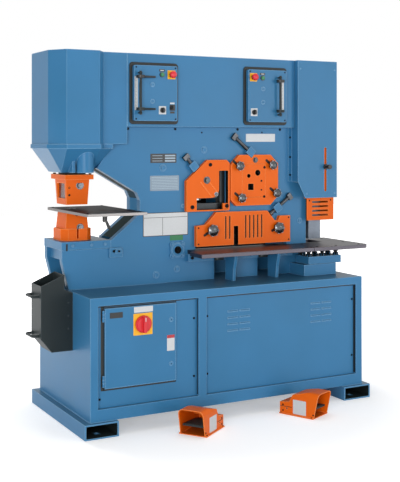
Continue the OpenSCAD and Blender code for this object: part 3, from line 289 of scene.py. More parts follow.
@dataclass(frozen=True)
class GroundSteel(Finish):
    """Steel plate with its mill face ground: long grinding lines and a thin brown oil film.

    Sizes are in millimetres; upright faces can take their own colour, where they differ, for worn
    metal and a painted highlight.
    """

    film: str
    roughness: float = 0.38
    line: float = 2.5
    run: float = 140.0
    patch: float = 160.0
    film_share: float = 0.5
    rubbed_and_highlight: str = ""
    grazing: float = 1.0
    spread: Spot = (-0.12, 0.14)
    film_band: Spot = (0.35, 0.68)
    grain_band: Spot = (0.3, 0.7)
    grain_dark: float = 0.78
    side_band: Spot = (0.95, 0.7)
    groove_strength: float = 0.12
    groove_depth: float = 0.3

    def build(self) -> bpy.types.Material:
        """Returns the steel; the lines are drawn coarser than real grit so that they show."""
        material, tree = empty_material(self.name)
        place = add(tree, "ShaderNodeTexCoord", {}, {}).outputs["Object"]
        stretched = add(tree, "ShaderNodeMapping", {}, {
            "Vector": place,
            "Scale": (per_mm(self.run), per_mm(self.line), per_mm(self.line))})
        lines = add(tree, "ShaderNodeTexNoise", {}, {
            "Vector": stretched.outputs["Vector"], "Scale": 1.0, "Detail": 4.0})
        oil = add(tree, "ShaderNodeTexNoise", {}, {
            "Vector": place, "Scale": per_mm(self.patch), "Detail": 4.0})
        wet = add(tree, "ShaderNodeMapRange", {}, {
            "Value": oil.outputs["Fac"], "From Min": self.film_band[0],
            "From Max": self.film_band[1], "To Max": self.film_share})
        metal = add(tree, "ShaderNodeMix", {"data_type": "RGBA"}, {
            0: wet.outputs["Result"], 6: linear(self.colour), 7: linear(self.film)})
        grain = add(tree, "ShaderNodeMapRange", {}, {
            "Value": lines.outputs["Fac"], "From Min": self.grain_band[0],
            "From Max": self.grain_band[1], "To Min": self.grain_dark})
        toned = add(tree, "ShaderNodeMix", {"data_type": "RGBA", "blend_type": "MULTIPLY"}, {
            0: 1.0, 6: metal.outputs[2], 7: grain.outputs["Result"]})
        # Worn metal and painted highlight: upright faces are mixed toward their own colour.
        if self.rubbed_and_highlight:
            geometry = add(tree, "ShaderNodeNewGeometry", {}, {})
            facing = add(tree, "ShaderNodeSeparateXYZ", {}, {
                "Vector": geometry.outputs["True Normal"]})
            side = add(tree, "ShaderNodeMath", {"operation": "ABSOLUTE"}, {0: facing.outputs["Z"]})
            bare = add(tree, "ShaderNodeMapRange", {}, {
                "Value": side.outputs["Value"],
                "From Min": self.side_band[0], "From Max": self.side_band[1]})
            toned = add(tree, "ShaderNodeMix", {"data_type": "RGBA"}, {
                0: bare.outputs["Result"], 6: toned.outputs[2], 7: linear(self.rubbed_and_highlight)})
        gloss = add(tree, "ShaderNodeMapRange", {}, {
            "Value": lines.outputs["Fac"],
            "To Min": self.roughness + self.spread[0], "To Max": self.roughness + self.spread[1]})
        bump = add(tree, "ShaderNodeBump", {}, {
            "Height": lines.outputs["Fac"], "Strength": self.groove_strength,
            "Distance": self.groove_depth * MM})
        shader = add(tree, "ShaderNodeBsdfPrincipled", {}, {
            "Base Color": toned.outputs[2], "Metallic": 1.0, "Roughness": gloss.outputs["Result"],
            "Normal": bump.outputs["Normal"],
            "Specular Tint": (self.grazing, self.grazing, self.grazing, 1.0)})
        add(tree, "ShaderNodeOutputMaterial", {}, {"Surface": shader.outputs["BSDF"]})
        return material


@dataclass(frozen=True)
class MouldedPlastic(Finish):
    """Moulded plastic or rubber: one colour through, with a fine spark-eroded grain."""

    roughness: float = 0.42
    grain: float = 1.2
    spread: Spot = (-0.08, 0.1)
    tones: Spot = (0.86, 1.12)
    pit_strength: float = 0.15
    pit_depth: float = 0.15

    def build(self) -> bpy.types.Material:
        """Returns the plastic; the grain is drawn at about twice its size so that it shows."""
        material, tree = empty_material(self.name)
        place = add(tree, "ShaderNodeTexCoord", {}, {}).outputs["Object"]
        pits = add(tree, "ShaderNodeTexNoise", {}, {
            "Vector": place, "Scale": per_mm(self.grain), "Detail": 2.0})
        light = add(tree, "ShaderNodeMapRange", {}, {
            "Value": pits.outputs["Fac"], "To Min": self.tones[0], "To Max": self.tones[1]})
        tone = add(tree, "ShaderNodeHueSaturation", {}, {
            "Color": linear(self.colour), "Value": light.outputs["Result"]})
        gloss = add(tree, "ShaderNodeMapRange", {}, {
            "Value": pits.outputs["Fac"],
            "To Min": self.roughness + self.spread[0], "To Max": self.roughness + self.spread[1]})
        bump = add(tree, "ShaderNodeBump", {}, {
            "Height": pits.outputs["Fac"], "Strength": self.pit_strength,
            "Distance": self.pit_depth * MM})
        shader = add(tree, "ShaderNodeBsdfPrincipled", {}, {
            "Base Color": tone.outputs["Color"], "Roughness": gloss.outputs["Result"],
            "Normal": bump.outputs["Normal"], "IOR": 1.5})
        add(tree, "ShaderNodeOutputMaterial", {}, {"Surface": shader.outputs["BSDF"]})
        return material


@dataclass(frozen=True)
class ClearSheet(Finish):
    """Bent polycarbonate sheet: clear, faintly tinted, with hazy wipe marks."""

    haze: float = 30.0
    gloss: Spot = (0.03, 0.2)
    clearness: float = 0.92

    def build(self) -> bpy.types.Material:
        """Returns the clear sheet with wipe marks in its roughness."""
        material, tree = empty_material(self.name)
        place = add(tree, "ShaderNodeTexCoord", {}, {}).outputs["Object"]
        wipe = add(tree, "ShaderNodeTexNoise", {}, {
            "Vector": place, "Scale": per_mm(self.haze), "Detail": 5.0})
        gloss = add(tree, "ShaderNodeMapRange", {}, {
            "Value": wipe.outputs["Fac"], "To Min": self.gloss[0], "To Max": self.gloss[1]})
        shader = add(tree, "ShaderNodeBsdfPrincipled", {}, {
            "Base Color": linear(self.colour), "Roughness": gloss.outputs["Result"], "IOR": 1.585,
            "Transmission Weight": self.clearness})
        add(tree, "ShaderNodeOutputMaterial", {}, {"Surface": shader.outputs["BSDF"]})
        return material


@dataclass(frozen=True)
class PrintedPlate(Finish):
    """Screen-printed aluminium plate: a flat satin ink film, a little uneven."""

    roughness: float = 0.4
    metallic: float = 0.0
    mottle: float = 9.0
    tones: Spot = (0.93, 1.05)

    def build(self) -> bpy.types.Material:
        """Returns the printed face with the faint mottle of the ink."""
        material, tree = empty_material(self.name)
        place = add(tree, "ShaderNodeTexCoord", {}, {}).outputs["Object"]
        mottle = add(tree, "ShaderNodeTexNoise", {}, {
            "Vector": place, "Scale": per_mm(self.mottle), "Detail": 3.0})
        light = add(tree, "ShaderNodeMapRange", {}, {
            "Value": mottle.outputs["Fac"], "To Min": self.tones[0], "To Max": self.tones[1]})
        ink = add(tree, "ShaderNodeHueSaturation", {}, {
            "Color": linear(self.colour), "Value": light.outputs["Result"]})
        shader = add(tree, "ShaderNodeBsdfPrincipled", {}, {
            "Base Color": ink.outputs["Color"], "Roughness": self.roughness,
            "Metallic": self.metallic})
        add(tree, "ShaderNodeOutputMaterial", {}, {"Surface": shader.outputs["BSDF"]})
        return material


# Blue enamel: an even mid blue, with a pale painted highlight on its edges, greyed on top by dust
# and painted shade.
BLUE = SprayedEnamel("enamel_blue_sprayed", "#34749F", "#397AA8", "#86B2D2", "#3D5C69",
                     dust_and_shade_share=0.6)
# Orange enamel: a strong warm colour, more matt than the blue, with a painted edge highlight and
# dust with painted shade on top.
ORANGE = SprayedEnamel("enamel_orange_sprayed", "#EC6808", "#E86206", "#FFA35C", "#C25F1E",
                       roughness=0.42, specular=0.2, dust_and_shade_share=0.4)
# Satin black paint: soft, with a grey painted highlight on its edges.
BLACK = SprayedEnamel("paint_black_satin", "#1C2426", "#222B2D", "#465052", "#2A3030",
                      roughness=0.45)
# Dark green liner paint: dull in the throat, a painted highlight on its edges, and blue overspray
# on its upright face.
LINER = SprayedEnamel("paint_liner_dark_green", "#182C2D", "#1F3637", "#3F5D5F", "#1C2A2B",
                      roughness=0.6, specular=0.05, upright="#3F80AC")
# Grey box paint: a plain pale grey, with a paler painted highlight on its edges.
GREY = SprayedEnamel("paint_grey_box", "#8D9496", "#868D90", "#B4BABC", "#7A7F80", roughness=0.4)
# Ground plate: brown-grey steel with lines along X.
STEEL = GroundSteel("steel_plate_ground", "#56565A", "#3B3430", roughness=0.44, rubbed_and_highlight="#56535A")
# Oiled plate: a dark top face, and bright upright faces that are worn metal and painted highlight.
TABLE = GroundSteel("steel_plate_oiled", "#3E3E40", "#2B2724", roughness=0.46, rubbed_and_highlight="#949190",
                    grazing=0.5)
# Bright zinc: small, pale and shiny heads.
BRIGHT = GroundSteel("steel_bolt_bright_zinc", "#787B80", "#4E4F52", roughness=0.26, line=6.0,
                     run=8.0, patch=20.0)
# Hardened tool steel: dark and even.
TOOL = GroundSteel("steel_tool_hardened", "#3A3D3F", "#262727", film_share=0.6)
# Zinc plate: grey heads, a little clouded.
ZINC = GroundSteel("steel_bolt_zinc_plated", "#54575A", "#383934", roughness=0.34, line=6.0,
                   run=8.0, patch=20.0)
# Turned and blackened screw: dark, with a soft streak of light.
SCREW = GroundSteel("steel_screw_turned_blackened", "#525457", "#2E2F30", roughness=0.3, line=4.0,
                    run=20.0, patch=30.0)
# Milled block: pale blue-grey steel with short lines.
BLOCK = GroundSteel("steel_punch_block_milled", "#6F7680", "#565B63", roughness=0.42, line=3.0,
                    run=60.0, patch=60.0)
# Mill scale that also stands for painted shade inside the fork tubes: dull blue-grey, without a
# bright rim.
SCALE_AND_SHADE = GroundSteel("steel_mill_scale_painted_shade", "#465254", "#30393B", roughness=0.6, grazing=0.5)
# Black oxide: nearly black, with a faint oily shine.
OXIDE = GroundSteel("steel_screw_black_oxide", "#1B1D1F", "#101112", roughness=0.42, line=5.0,
                    run=6.0, patch=15.0)
# Turned aluminium: bright rings of light on the knobs.
KNOB = GroundSteel("aluminium_knob_turned", "#6A6D70", "#37393B", roughness=0.25, line=3.0,
                   run=12.0, patch=35.0)
# Extruded rubber: matt black.
RUBBER = MouldedPlastic("rubber_trim_extruded", "#141A1A", roughness=0.58, grain=2.0)
# Black, red and green moulded plastic: a soft shine on the switches.
PLASTIC = MouldedPlastic("plastic_black_moulded", "#1A1C1D")
RED = MouldedPlastic("plastic_red_moulded", "#D8232E", roughness=0.34)
GREEN = MouldedPlastic("plastic_green_moulded", "#1F7A4B", roughness=0.36)
# Painted shadow: a dark matt plastic without shine that stands for the shade deep in a slot or gap.
SHADOW = MouldedPlastic("painted_shadow_slot_dark", "#120F0E", roughness=0.7, grain=2.0)
# Acrylic gauge glass: glossy amber.
OIL = MouldedPlastic("acrylic_gauge_oil_moulded", "#C98A2B", roughness=0.2, grain=3.0)
# Bent polycarbonate: a smoky clear sheet.
CLEAR = ClearSheet("polycarbonate_sheet_bent", "#B58F92")
# Printed and etched plates: flat satin colours.
WHITE_PLATE = PrintedPlate("plate_white_printed", "#CFD2D4")
BLACK_PLATE = PrintedPlate("plate_black_printed", "#1B1E21")
GREY_PLATE = PrintedPlate("plate_grey_etched", "#6F7F8C", roughness=0.36, metallic=0.4)
YELLOW_PLATE = PrintedPlate("plate_yellow_printed", "#F2B31B")
GREEN_PLATE = PrintedPlate("plate_green_printed", "#0F7040")
RED_PLATE = PrintedPlate("plate_red_printed", "#B4313B")
GREY_PLATE_PALE = PrintedPlate("plate_rules_pale_printed", "#9FB2C0")

FINISH_OF_SLOT = {
    Slot.BLUE: BLUE, Slot.ORANGE: ORANGE, Slot.BLACK: BLACK, Slot.LINER: LINER, Slot.GREY: GREY,
    Slot.STEEL: STEEL, Slot.TOOL: TOOL, Slot.RUBBER: RUBBER, Slot.PLASTIC: PLASTIC, Slot.RED: RED,
    Slot.GREEN: GREEN, Slot.CLEAR: CLEAR, Slot.KNOB: KNOB,
}


class Sketch:
    """Collects faces in millimetres and turns them into one piece in metres."""

    def __init__(self) -> None:
        """Starts an empty mesh."""
        self.mesh = bmesh.new()

    @staticmethod
    def axes(out: Vector) -> Axes:
        """Makes the two face directions that go with an outward direction.

        Args:
            out: Direction that points out of the surface.

        Returns:
            Right, up and outward unit vectors.
        """
        out = out.normalized()
        up = Vector((0, 1, 0)) if abs(out.z) > 0.9 else Vector((0, 0, 1))
        right = up.cross(out).normalized()
        return right, out.cross(right), out

    @staticmethod
    def on_face(out: Vector, face: float, spot: Spot) -> Point:
        """Places a spot of a face that is square to one axis.

        Args:
            out: Direction out of the face.
            face: Place of the face along that axis.
            spot: Place on the face along the other two axes, in the order X, Y, Z.

        Returns:
            The point in the machine's frame.
        """
        axis = [abs(part) for part in out].index(1.0)
        return (*spot[:axis], face, *spot[axis:])

    @staticmethod
    def outline(size: Spot, corner: float, steps: int) -> list[Spot]:
        """Draws a rectangle with rounded corners.

        Args:
            size: Width and height.
            corner: Radius of the corners.
            steps: Number of edges in each corner.

        Returns:
            The points round the rectangle's centre.
        """
        points = []
        for k, (sx, sy) in enumerate(((1, 1), (-1, 1), (-1, -1), (1, -1))):
            for step in range(steps + 1):
                angle = math.pi / 2 * (k + step / steps)
                points.append((sx * (size[0] / 2 - corner) + corner * math.cos(angle),
                               sy * (size[1] / 2 - corner) + corner * math.sin(angle)))
        return points

    @staticmethod
    def ring(radius: float, lift: float, section: Section, sides: int) -> list[Point]:
        """Draws one ring of a turned form.

        Args:
            radius: Radius of the ring, or half its width across corners.
            lift: Distance along the axis.
            section: Round or hexagonal plan.
            sides: Number of points.

        Returns:
            The ring's points; one point where the radius is zero.
        """
        if radius == 0:
            return [(0.0, 0.0, lift)]
        points = []
        for i in range(sides):
            angle = 2 * math.pi * i / sides
            reach = radius
            if section is Section.HEX:
                reach *= math.cos(math.pi / 6) / math.cos(angle % (math.pi / 3) - math.pi / 6)
            points.append((reach * math.cos(angle), reach * math.sin(angle), lift))
        return points

    def row(self, at: Sequence[float], axes: Axes, points: Iterable[Point]) -> Row:
        """Adds one row of points.

        Args:
            at: Origin of the points in the machine's frame.
            axes: Directions of their three measures.
            points: Points along those directions.

        Returns:
            The new vertices.
        """
        right, up, out = axes
        return [self.mesh.verts.new((Vector(at) + right * x + up * y + out * z) * MM)
                for x, y, z in points]

    def bridge(self, rows: Sequence[Row], hollow: bool = False) -> None:
        """Joins each row to the next one by faces.

        Args:
            rows: Rows with like numbers of points; a row of one point is a tip.
            hollow: True where the last row joins the first, False where both ends are capped.
        """
        for low, high in zip(rows, [*rows[1:], rows[0]] if hollow else rows[1:]):
            sides = max(len(low), len(high))
            for i in range(sides):
                j = (i + 1) % sides
                corners = (low[i % len(low)], low[j % len(low)],
                           high[j % len(high)], high[i % len(high)])
                self.mesh.faces.new(list(dict.fromkeys(corners)))
        for row in (rows[0], rows[-1]):
            if len(row) > 2 and not hollow:
                self.mesh.faces.new(row)

    def lathe(self, at: Point, out: Vector, rings: Sequence[Ring], sides: int = 24) -> None:
        """Adds one turned form, with closed ends, or hollow where the last ring is the first.

        Args:
            at: Foot of the axis.
            out: Direction of the axis.
            rings: Radius, lift and plan of each ring, from the foot outwards.
            sides: Number of points of a ring.
        """
        hollow = rings[0] == rings[-1]
        axes = self.axes(out)
        rows = [self.row(at, axes, self.ring(*ring, sides))
                for ring in (rings[:-1] if hollow else rings)]
        self.bridge(rows, hollow)

    def turned(self, spots: Iterable[Spot], face: float, rings: Sequence[Ring],
               out: Vector = OUT_FRONT, sides: int = 24) -> Self:
        """Adds like turned forms on a face.

        Args:
            spots: Feet of their axes on the face.
            face: Place of the face.
            rings: Radius, lift and plan of each ring, from the foot outwards.
            out: Direction out of the face.
            sides: Number of points of a ring.

        Returns:
            This sketch.
        """
        for spot in spots:
            self.lathe(self.on_face(out, face, spot), out, rings, sides)
        return self

    def bolt(self, at: Point, out: Vector, kind: Head, radius: float, height: float,
             washer: bool = False) -> None:
        """Adds one fastener head.

        Args:
            at: Foot of the head on its surface.
            out: Direction out of the surface.
            kind: Kind of head.
            radius: Radius of the head.
            height: Height of the head.
            washer: True for a washer below the head.
        """
        base = WASHER_THICK * radius if washer else 0.0
        if washer:
            reach, rim = WASHER_REACH * radius, WASHER_RIM * radius
            self.lathe(at, out, [(reach, 0, ROUND), (reach, 0.7 * base, ROUND), (rim, base, ROUND)])
        self.lathe(at, out, [(share * radius, base + rise * height - chamfer * radius, section)
                             for share, rise, chamfer, section in HEAD_RINGS[kind]])

    def bolts(self, kind: Head, discs: Iterable[Disc], face: float, height: float = 0.6,
              washer: bool = False, out: Vector = OUT_FRONT) -> Self:
        """Adds like fasteners on a face.

        Args:
            kind: Kind of head.
            discs: Place on the face and radius of each head.
            face: Place of the face.
            height: Height of a head as a share of its radius.
            washer: True for washers below the heads.
            out: Direction out of the face.

        Returns:
            This sketch.
        """
        for a, b, radius in discs:
            self.bolt(self.on_face(out, face, (a, b)), out, kind, radius, height * radius, washer)
        return self

    def plate(self, at: Point, out: Vector, size: Spot, thick: float, corner: float,
              turn: float = 0.0, soft: float = 0.0) -> None:
        """Adds one plate with rounded corners that lies on a surface.

        Args:
            at: Centre of the plate on its surface.
            out: Direction out of the surface.
            size: Width and height.
            thick: Thickness.
            corner: Radius of the corners.
            turn: Angle in the plane of the plate, in radians.
            soft: Width of the rounded front edge; zero for a quarter of the thickness.
        """
        right, up, out = self.axes(out)
        axes = (right * math.cos(turn) + up * math.sin(turn),
                up * math.cos(turn) - right * math.sin(turn), out)
        edge = soft if soft else 0.25 * thick
        rows = []
        for shrink, lift in ((0.0, 0.0), (0.0, thick - edge), (0.3 * edge, thick - 0.3 * edge),
                             (edge, thick)):
            inner = (size[0] - 2 * shrink, size[1] - 2 * shrink)
            points = self.outline(inner, max(corner - shrink, 0.01), 4)
            rows.append(self.row(at, axes, [(x, y, lift) for x, y in points]))
        self.bridge(rows)

    def plates(self, rects: Iterable[Rect], face: float, thick: float, corner: float,
               out: Vector = OUT_FRONT, soft: float = 0.0) -> Self:
        """Adds like plates on a face.

        Args:
            rects: Centre on the face, width and height of each plate.
            face: Place of the face.
            thick: Thickness.
            corner: Radius of the corners.
            out: Direction out of the face.
            soft: Width of the rounded front edge; zero for a quarter of the thickness.

        Returns:
            This sketch.
        """
        for a, b, width, height in rects:
            self.plate(self.on_face(out, face, (a, b)), out, (width, height), thick, corner,
                       soft=soft)
        return self

    def bezels(self, spots: Iterable[Spot], face: float, size: Spot, hole: float, thick: float,
               corner: float, out: Vector = OUT_FRONT) -> Self:
        """Adds like plates with rounded corners and a round hole in the middle.

        Args:
            spots: Centres on the face.
            face: Place of the face.
            size: Width and height.
            hole: Radius of the hole.
            thick: Thickness.
            corner: Radius of the corners.
            out: Direction out of the face.

        Returns:
            This sketch.
        """
        outer = self.outline(size, corner, 6)
        around = [math.atan2(y, x) for x, y in outer]
        inner = [(hole * math.cos(angle), hole * math.sin(angle)) for angle in around]
        edge = 0.2 * thick
        loops = ((inner, 0.0, 1.0), (outer, 0.0, 1.0), (outer, thick - edge, 1.0),
                 (outer, thick, 1.0 - edge / size[0]), (inner, thick, 1.0))
        axes = self.axes(out)
        for spot in spots:
            at = self.on_face(out, face, spot)
            self.bridge([self.row(at, axes, [(x * grow, y * grow, lift) for x, y in points])
                         for points, lift, grow in loops], hollow=True)
        return self

    def hood(self, at: Point, out: Vector, width: float, depth: float, height: float) -> None:
        """Adds one pressed louvre: a quarter-round scoop that is flat below.

        Args:
            at: Middle of its lower edge on the surface.
            out: Direction out of the surface.
            width: Length of the louvre.
            depth: How far it stands out.
            height: Height of the scoop.
        """
        arc = [math.pi / 2 * k / 6 for k in range(7)]
        profile = [(height * math.cos(a), depth * math.sin(a)) for a in arc] + [(0.0, 0.0)]
        axes, half, end = self.axes(out), width / 2, 0.4
        self.bridge([self.row(at, axes, [(x, rise * share, deep * share) for rise, deep in profile])
                     for x, share in ((-half, end), (depth - half, 1.0), (half - depth, 1.0),
                                      (half, end))])

    def bead(self, start: Point, end: Point, radius: float = 4.0, pitch: float = 7.0) -> None:
        """Adds a weld bead: a half-buried tube with the ripples of the weld pool.

        Args:
            start: Start of the bead's line.
            end: End of the bead's line.
            radius: Mean radius of the bead.
            pitch: Distance between two ripples.
        """
        sides, rise = 8, 0.14
        a, b = Vector(start), Vector(end)
        axes = self.axes(b - a)
        steps = max(2, int((b - a).length / (pitch / 3)))
        rows = []
        for k in range(steps + 1):
            ripple = radius * (1.0 + rise * math.sin(2 * math.pi * k / 3))
            rows.append(self.row(a.lerp(b, k / steps), axes, self.ring(ripple, 0.0, ROUND, sides)))
        self.bridge(rows)

    def piece(self, name: str, finish: Finish, slot: Slot | None = None,
              body: str = MACHINE) -> None:
        """Turns the faces into one object that rides on a body.

        Args:
            name: Name of the piece.
            finish: Finish that it takes.
            slot: Material slot of the record that it belongs to; not used.
            body: Body that carries it.
        """
        bmesh.ops.recalc_face_normals(self.mesh, faces=self.mesh.faces)
        for face in self.mesh.faces:
            face.smooth = len(face.verts) <= 4
        for edge in self.mesh.edges:
            edge.smooth = not (edge.is_manifold and edge.calc_face_angle(0.0) > CREASE)
        data = bpy.data.meshes.new(name)
        self.mesh.to_mesh(data)
        self.mesh.free()
        data.materials.append(finish.make())
        obj = show(name, data)
        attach(obj, body)
        LOG.info("%s on %s, %d faces", name, body, len(data.polygons))


@dataclass(frozen=True)
class Tag:
    """One bare plate on a front face, and how far it lies in front of that face."""

    name: str
    finish: Finish
    rect: Rect
    thick: float = 1.2
    corner: float = 2.0
    lift: float = 0.0

    def lay(self, face: float, body: str = MACHINE) -> None:
        """Lays the plate.

        Args:
            face: Y of the face.
            body: Body that carries the plate.
        """
        sketch = Sketch().plates([self.rect], face - self.lift, self.thick, self.corner)
        sketch.piece(self.name, self.finish, body=body)


@dataclass(frozen=True)
class TableRule:
    """One graduated steel rule on a table: its strip, and the marks from the first one along X."""

    name: str
    strip: Rect
    first: Spot
    top: float
    thick: float
    step: float = 10.0
    mark: float = 0.9
    lengths: Spot = (9.0, 5.0)

    def lay(self) -> None:
        """Lays the strip and its marks, of which every fifth is long."""
        strip = Sketch().plates([self.strip], self.top, self.thick, 0.5, OUT_UP)
        strip.piece(self.name, ZINC)
        x, y = self.first
        marks = []
        for k in range(int(self.strip[2] / self.step)):
            long = self.lengths[0] if k % 5 == 0 else self.lengths[1]
            marks.append((x + self.step * k, y + long / 2, self.mark, long))
        sketch = Sketch().plates(marks, self.top + self.thick, 0.2, 0.1, OUT_UP)
        sketch.piece(f"{self.name}_marks", BLACK_PLATE)


@dataclass(frozen=True)
class Lamp:
    """One square softbox: place, aim and side in metres, and power in watts."""

    name: str
    at: Point
    aim: Point
    side: float
    power: float
    mirrored: bool = True

    def hang(self) -> None:
        """Hangs the lamp; where mirrored is False, no glossy face mirrors it."""
        data = bpy.data.lights.new(self.name, "AREA")
        data.size = self.side
        data.energy = self.power
        lamp = show(self.name, data)
        way = Vector(self.aim) - Vector(self.at)
        lamp.location = self.at
        lamp.rotation_euler = way.to_track_quat("-Z", "Y").to_euler()
        lamp.visible_glossy = self.mirrored


@dataclass
class Stage:
    """Floor, background, lamps and camera, in metres."""

    eye: Point = (-2.757, -5.084, 1.546)
    heading: Point = (0.474, 0.880, 0.0)
    lens: float = 72.6
    sensor: float = 36.0
    shift_y: float = -0.21
    sight: float = 60.0
    floor_half: float = 14.0
    floor_drop: float = 0.0005
    floor_colour: str = "#EEEEEE"
    white: str = "#FFFFFF"
    glow_reach: Spot = (1.0, 2.8)
    glow: Spot = (0.38, 1.0)
    ambient: float = 0.40
    lamps: tuple[Lamp, ...] = (
        Lamp("key_softbox", (-6.6, -8.2, 1.7), (0.0, -0.1, 1.0), 4.2, 520.0),
        Lamp("fill_softbox", (4.8, -8.0, 1.8), (0.2, -0.1, 0.9), 4.0, 185.0),
        Lamp("rear_softbox", (-1.9, 9.0, 3.8), (0.0, 0.2, 1.0), 2.8, 420.0, mirrored=False),
        Lamp("top_softbox", (0.2, 0.6, 6.5), (0.0, 0.0, 1.5), 4.0, 130.0, mirrored=False),
    )

    def build(self) -> None:
        """Builds the stage in order."""
        self.set_camera()
        self.lay_floor()
        self.paint_world()
        for lamp in self.lamps:
            lamp.hang()
        bpy.context.scene.view_settings.view_transform = "Standard"

    def set_camera(self) -> None:
        """Sets the level camera of the photograph."""
        data = bpy.data.cameras.new("camera")
        data.lens = self.lens
        data.sensor_width = self.sensor
        data.shift_y = self.shift_y
        data.clip_end = self.sight
        camera = show("camera", data)
        camera.location = self.eye
        camera.rotation_euler = Vector(self.heading).to_track_quat("-Z", "Y").to_euler()
        bpy.context.scene.camera = camera

    @staticmethod
    def seen(tree: bpy.types.NodeTree) -> bpy.types.NodeSocket:
        """Adds the sum of camera, glossy and transmission rays.

        Args:
            tree: Node tree that takes the nodes.

        Returns:
            A socket that is 1 for those rays and 0 for the others.
        """
        path = add(tree, "ShaderNodeLightPath", {}, {})
        first = add(tree, "ShaderNodeMath", {"operation": "MAXIMUM"}, {
            0: path.outputs["Is Camera Ray"], 1: path.outputs["Is Glossy Ray"]})
        both = add(tree, "ShaderNodeMath", {"operation": "MAXIMUM"}, {
            0: first.outputs["Value"], 1: path.outputs["Is Transmission Ray"]})
        return both.outputs["Value"]

    def lay_floor(self) -> None:
        """Lays the pale floor, which keeps the object's shadow."""
        sheet = bmesh.new()
        bmesh.ops.create_grid(sheet, x_segments=4, y_segments=4, size=self.floor_half)
        data = bpy.data.meshes.new("studio_floor")
        sheet.to_mesh(data)
        sheet.free()
        floor = show("studio_floor", data)
        floor.location.z = -self.floor_drop
        material, tree = empty_material("studio_paper_white")
        matt = add(tree, "ShaderNodeBsdfDiffuse", {}, {"Color": linear(self.floor_colour)})
        place = add(tree, "ShaderNodeTexCoord", {}, {}).outputs["Object"]
        away = add(tree, "ShaderNodeVectorMath", {"operation": "LENGTH"}, {0: place})
        level = add(tree, "ShaderNodeMapRange", {}, {
            "Value": away.outputs["Value"],
            "From Min": self.glow_reach[0], "From Max": self.glow_reach[1],
            "To Min": self.glow[0], "To Max": self.glow[1]})
        lift = add(tree, "ShaderNodeMath", {"operation": "MULTIPLY"}, {
            0: self.seen(tree), 1: level.outputs["Result"]})
        glow = add(tree, "ShaderNodeEmission", {}, {
            "Color": linear(self.white), "Strength": lift.outputs["Value"]})
        both = add(tree, "ShaderNodeAddShader", {}, {
            0: matt.outputs["BSDF"], 1: glow.outputs["Emission"]})
        add(tree, "ShaderNodeOutputMaterial", {}, {"Surface": both.outputs["Shader"]})
        data.materials.append(material)

    def paint_world(self) -> None:
        """Gives a white background with a lower ambient light."""
        world = bpy.data.worlds.new("studio_world")
        world.use_nodes = True
        tree = world.node_tree
        tree.nodes.clear()
        level = add(tree, "ShaderNodeMapRange", {}, {
            "Value": self.seen(tree), "To Min": self.ambient, "To Max": 1.0})
        sky = add(tree, "ShaderNodeBackground", {}, {
            "Color": linear(self.white), "Strength": level.outputs["Result"]})
        add(tree, "ShaderNodeOutputWorld", {}, {"Surface": sky.outputs["Background"]})
        bpy.context.scene.world = world


@dataclass
class CadDress:
    """Finishes of the carried-over solids and the softening of their edges, in millimetres."""

    repaint: dict[str, Finish] = field(default_factory=lambda: {
        "angle_screw": SCREW, "rod_screw": SCREW, "flat_screw": SCREW, "notcher_punch": BLOCK,
        "punch_table": TABLE})
    edges: dict[str, float] = field(default_factory=lambda: {
        "base_cabinet": 2.5, "fork_tubes": 2.5, "enclosure_panel": 1.2, "front_plate": 2.0,
        "back_plate": 2.0, "bolster": 2.0, "tower_cover": 4.0, "upper_cover": 2.5,
        "notcher_cover": 3.0, "station_panels": 3.0, "station_trims": 3.5, "hold_down_blocks": 1.5,
        "table_supports": 1.5, "notcher_bed": 2.0, "electrical_door": 2.0, "angle_guard": 2.5,
        "rod_guard": 2.5, "flat_guard": 2.5, "notcher_guard": 1.5, "punch_table": 1.5,
        "shear_table": 1.5, "notcher_table": 1.5, "frame_core": 2.0, "electrical_box": 1.0,
        "fixed_blades": 0.8, "moving_blades": 0.8, "selector_left": 1.0, "selector_right": 1.0,
        "key_switch": 1.0, "disconnect_knob": 2.0, "notch_stop": 1.0})
    weld_gap: float = 0.01
    flat_angle: float = math.radians(0.4)
    hard_angle: float = math.radians(35)

    def dress(self) -> None:
        """Gives every node its finish and softens the folded and ground edges."""
        slots = {part["node"]: part["material_slot"] for part in frame["record"]["subparts"]}
        for name, obj in frame["nodes"].items():
            finish = self.repaint.get(name) or FINISH_OF_SLOT[Slot(slots[name])]
            if not obj.material_slots:
                obj.data.materials.append(finish.make())
            for place in obj.material_slots:
                place.material = finish.make()
            if name in self.edges:
                self.soften(obj, self.edges[name])
            else:
                split = obj.modifiers.new("sharp_edges", "EDGE_SPLIT")
                split.split_angle = CREASE
            LOG.info("%s dressed in %s", name, finish.name)

    def soften(self, obj: bpy.types.Object, width: float) -> None:
        """Rounds the hard edges of one solid by modifiers, which leave its mesh as it is.

        Args:
            obj: Object of a CAD node.
            width: Width of the rounding in millimetres.
        """
        weld = obj.modifiers.new("weld", "WELD")
        weld.merge_threshold = self.weld_gap * MM
        merge = obj.modifiers.new("merge_flats", "DECIMATE")
        merge.decimate_type = "DISSOLVE"
        merge.angle_limit = self.flat_angle
        bevel = obj.modifiers.new("round_edges", "BEVEL")
        bevel.width = width * MM
        bevel.segments = 2
        bevel.limit_method = "ANGLE"
        bevel.angle_limit = self.hard_angle
        bevel.use_clamp_overlap = True
        bevel.harden_normals = True


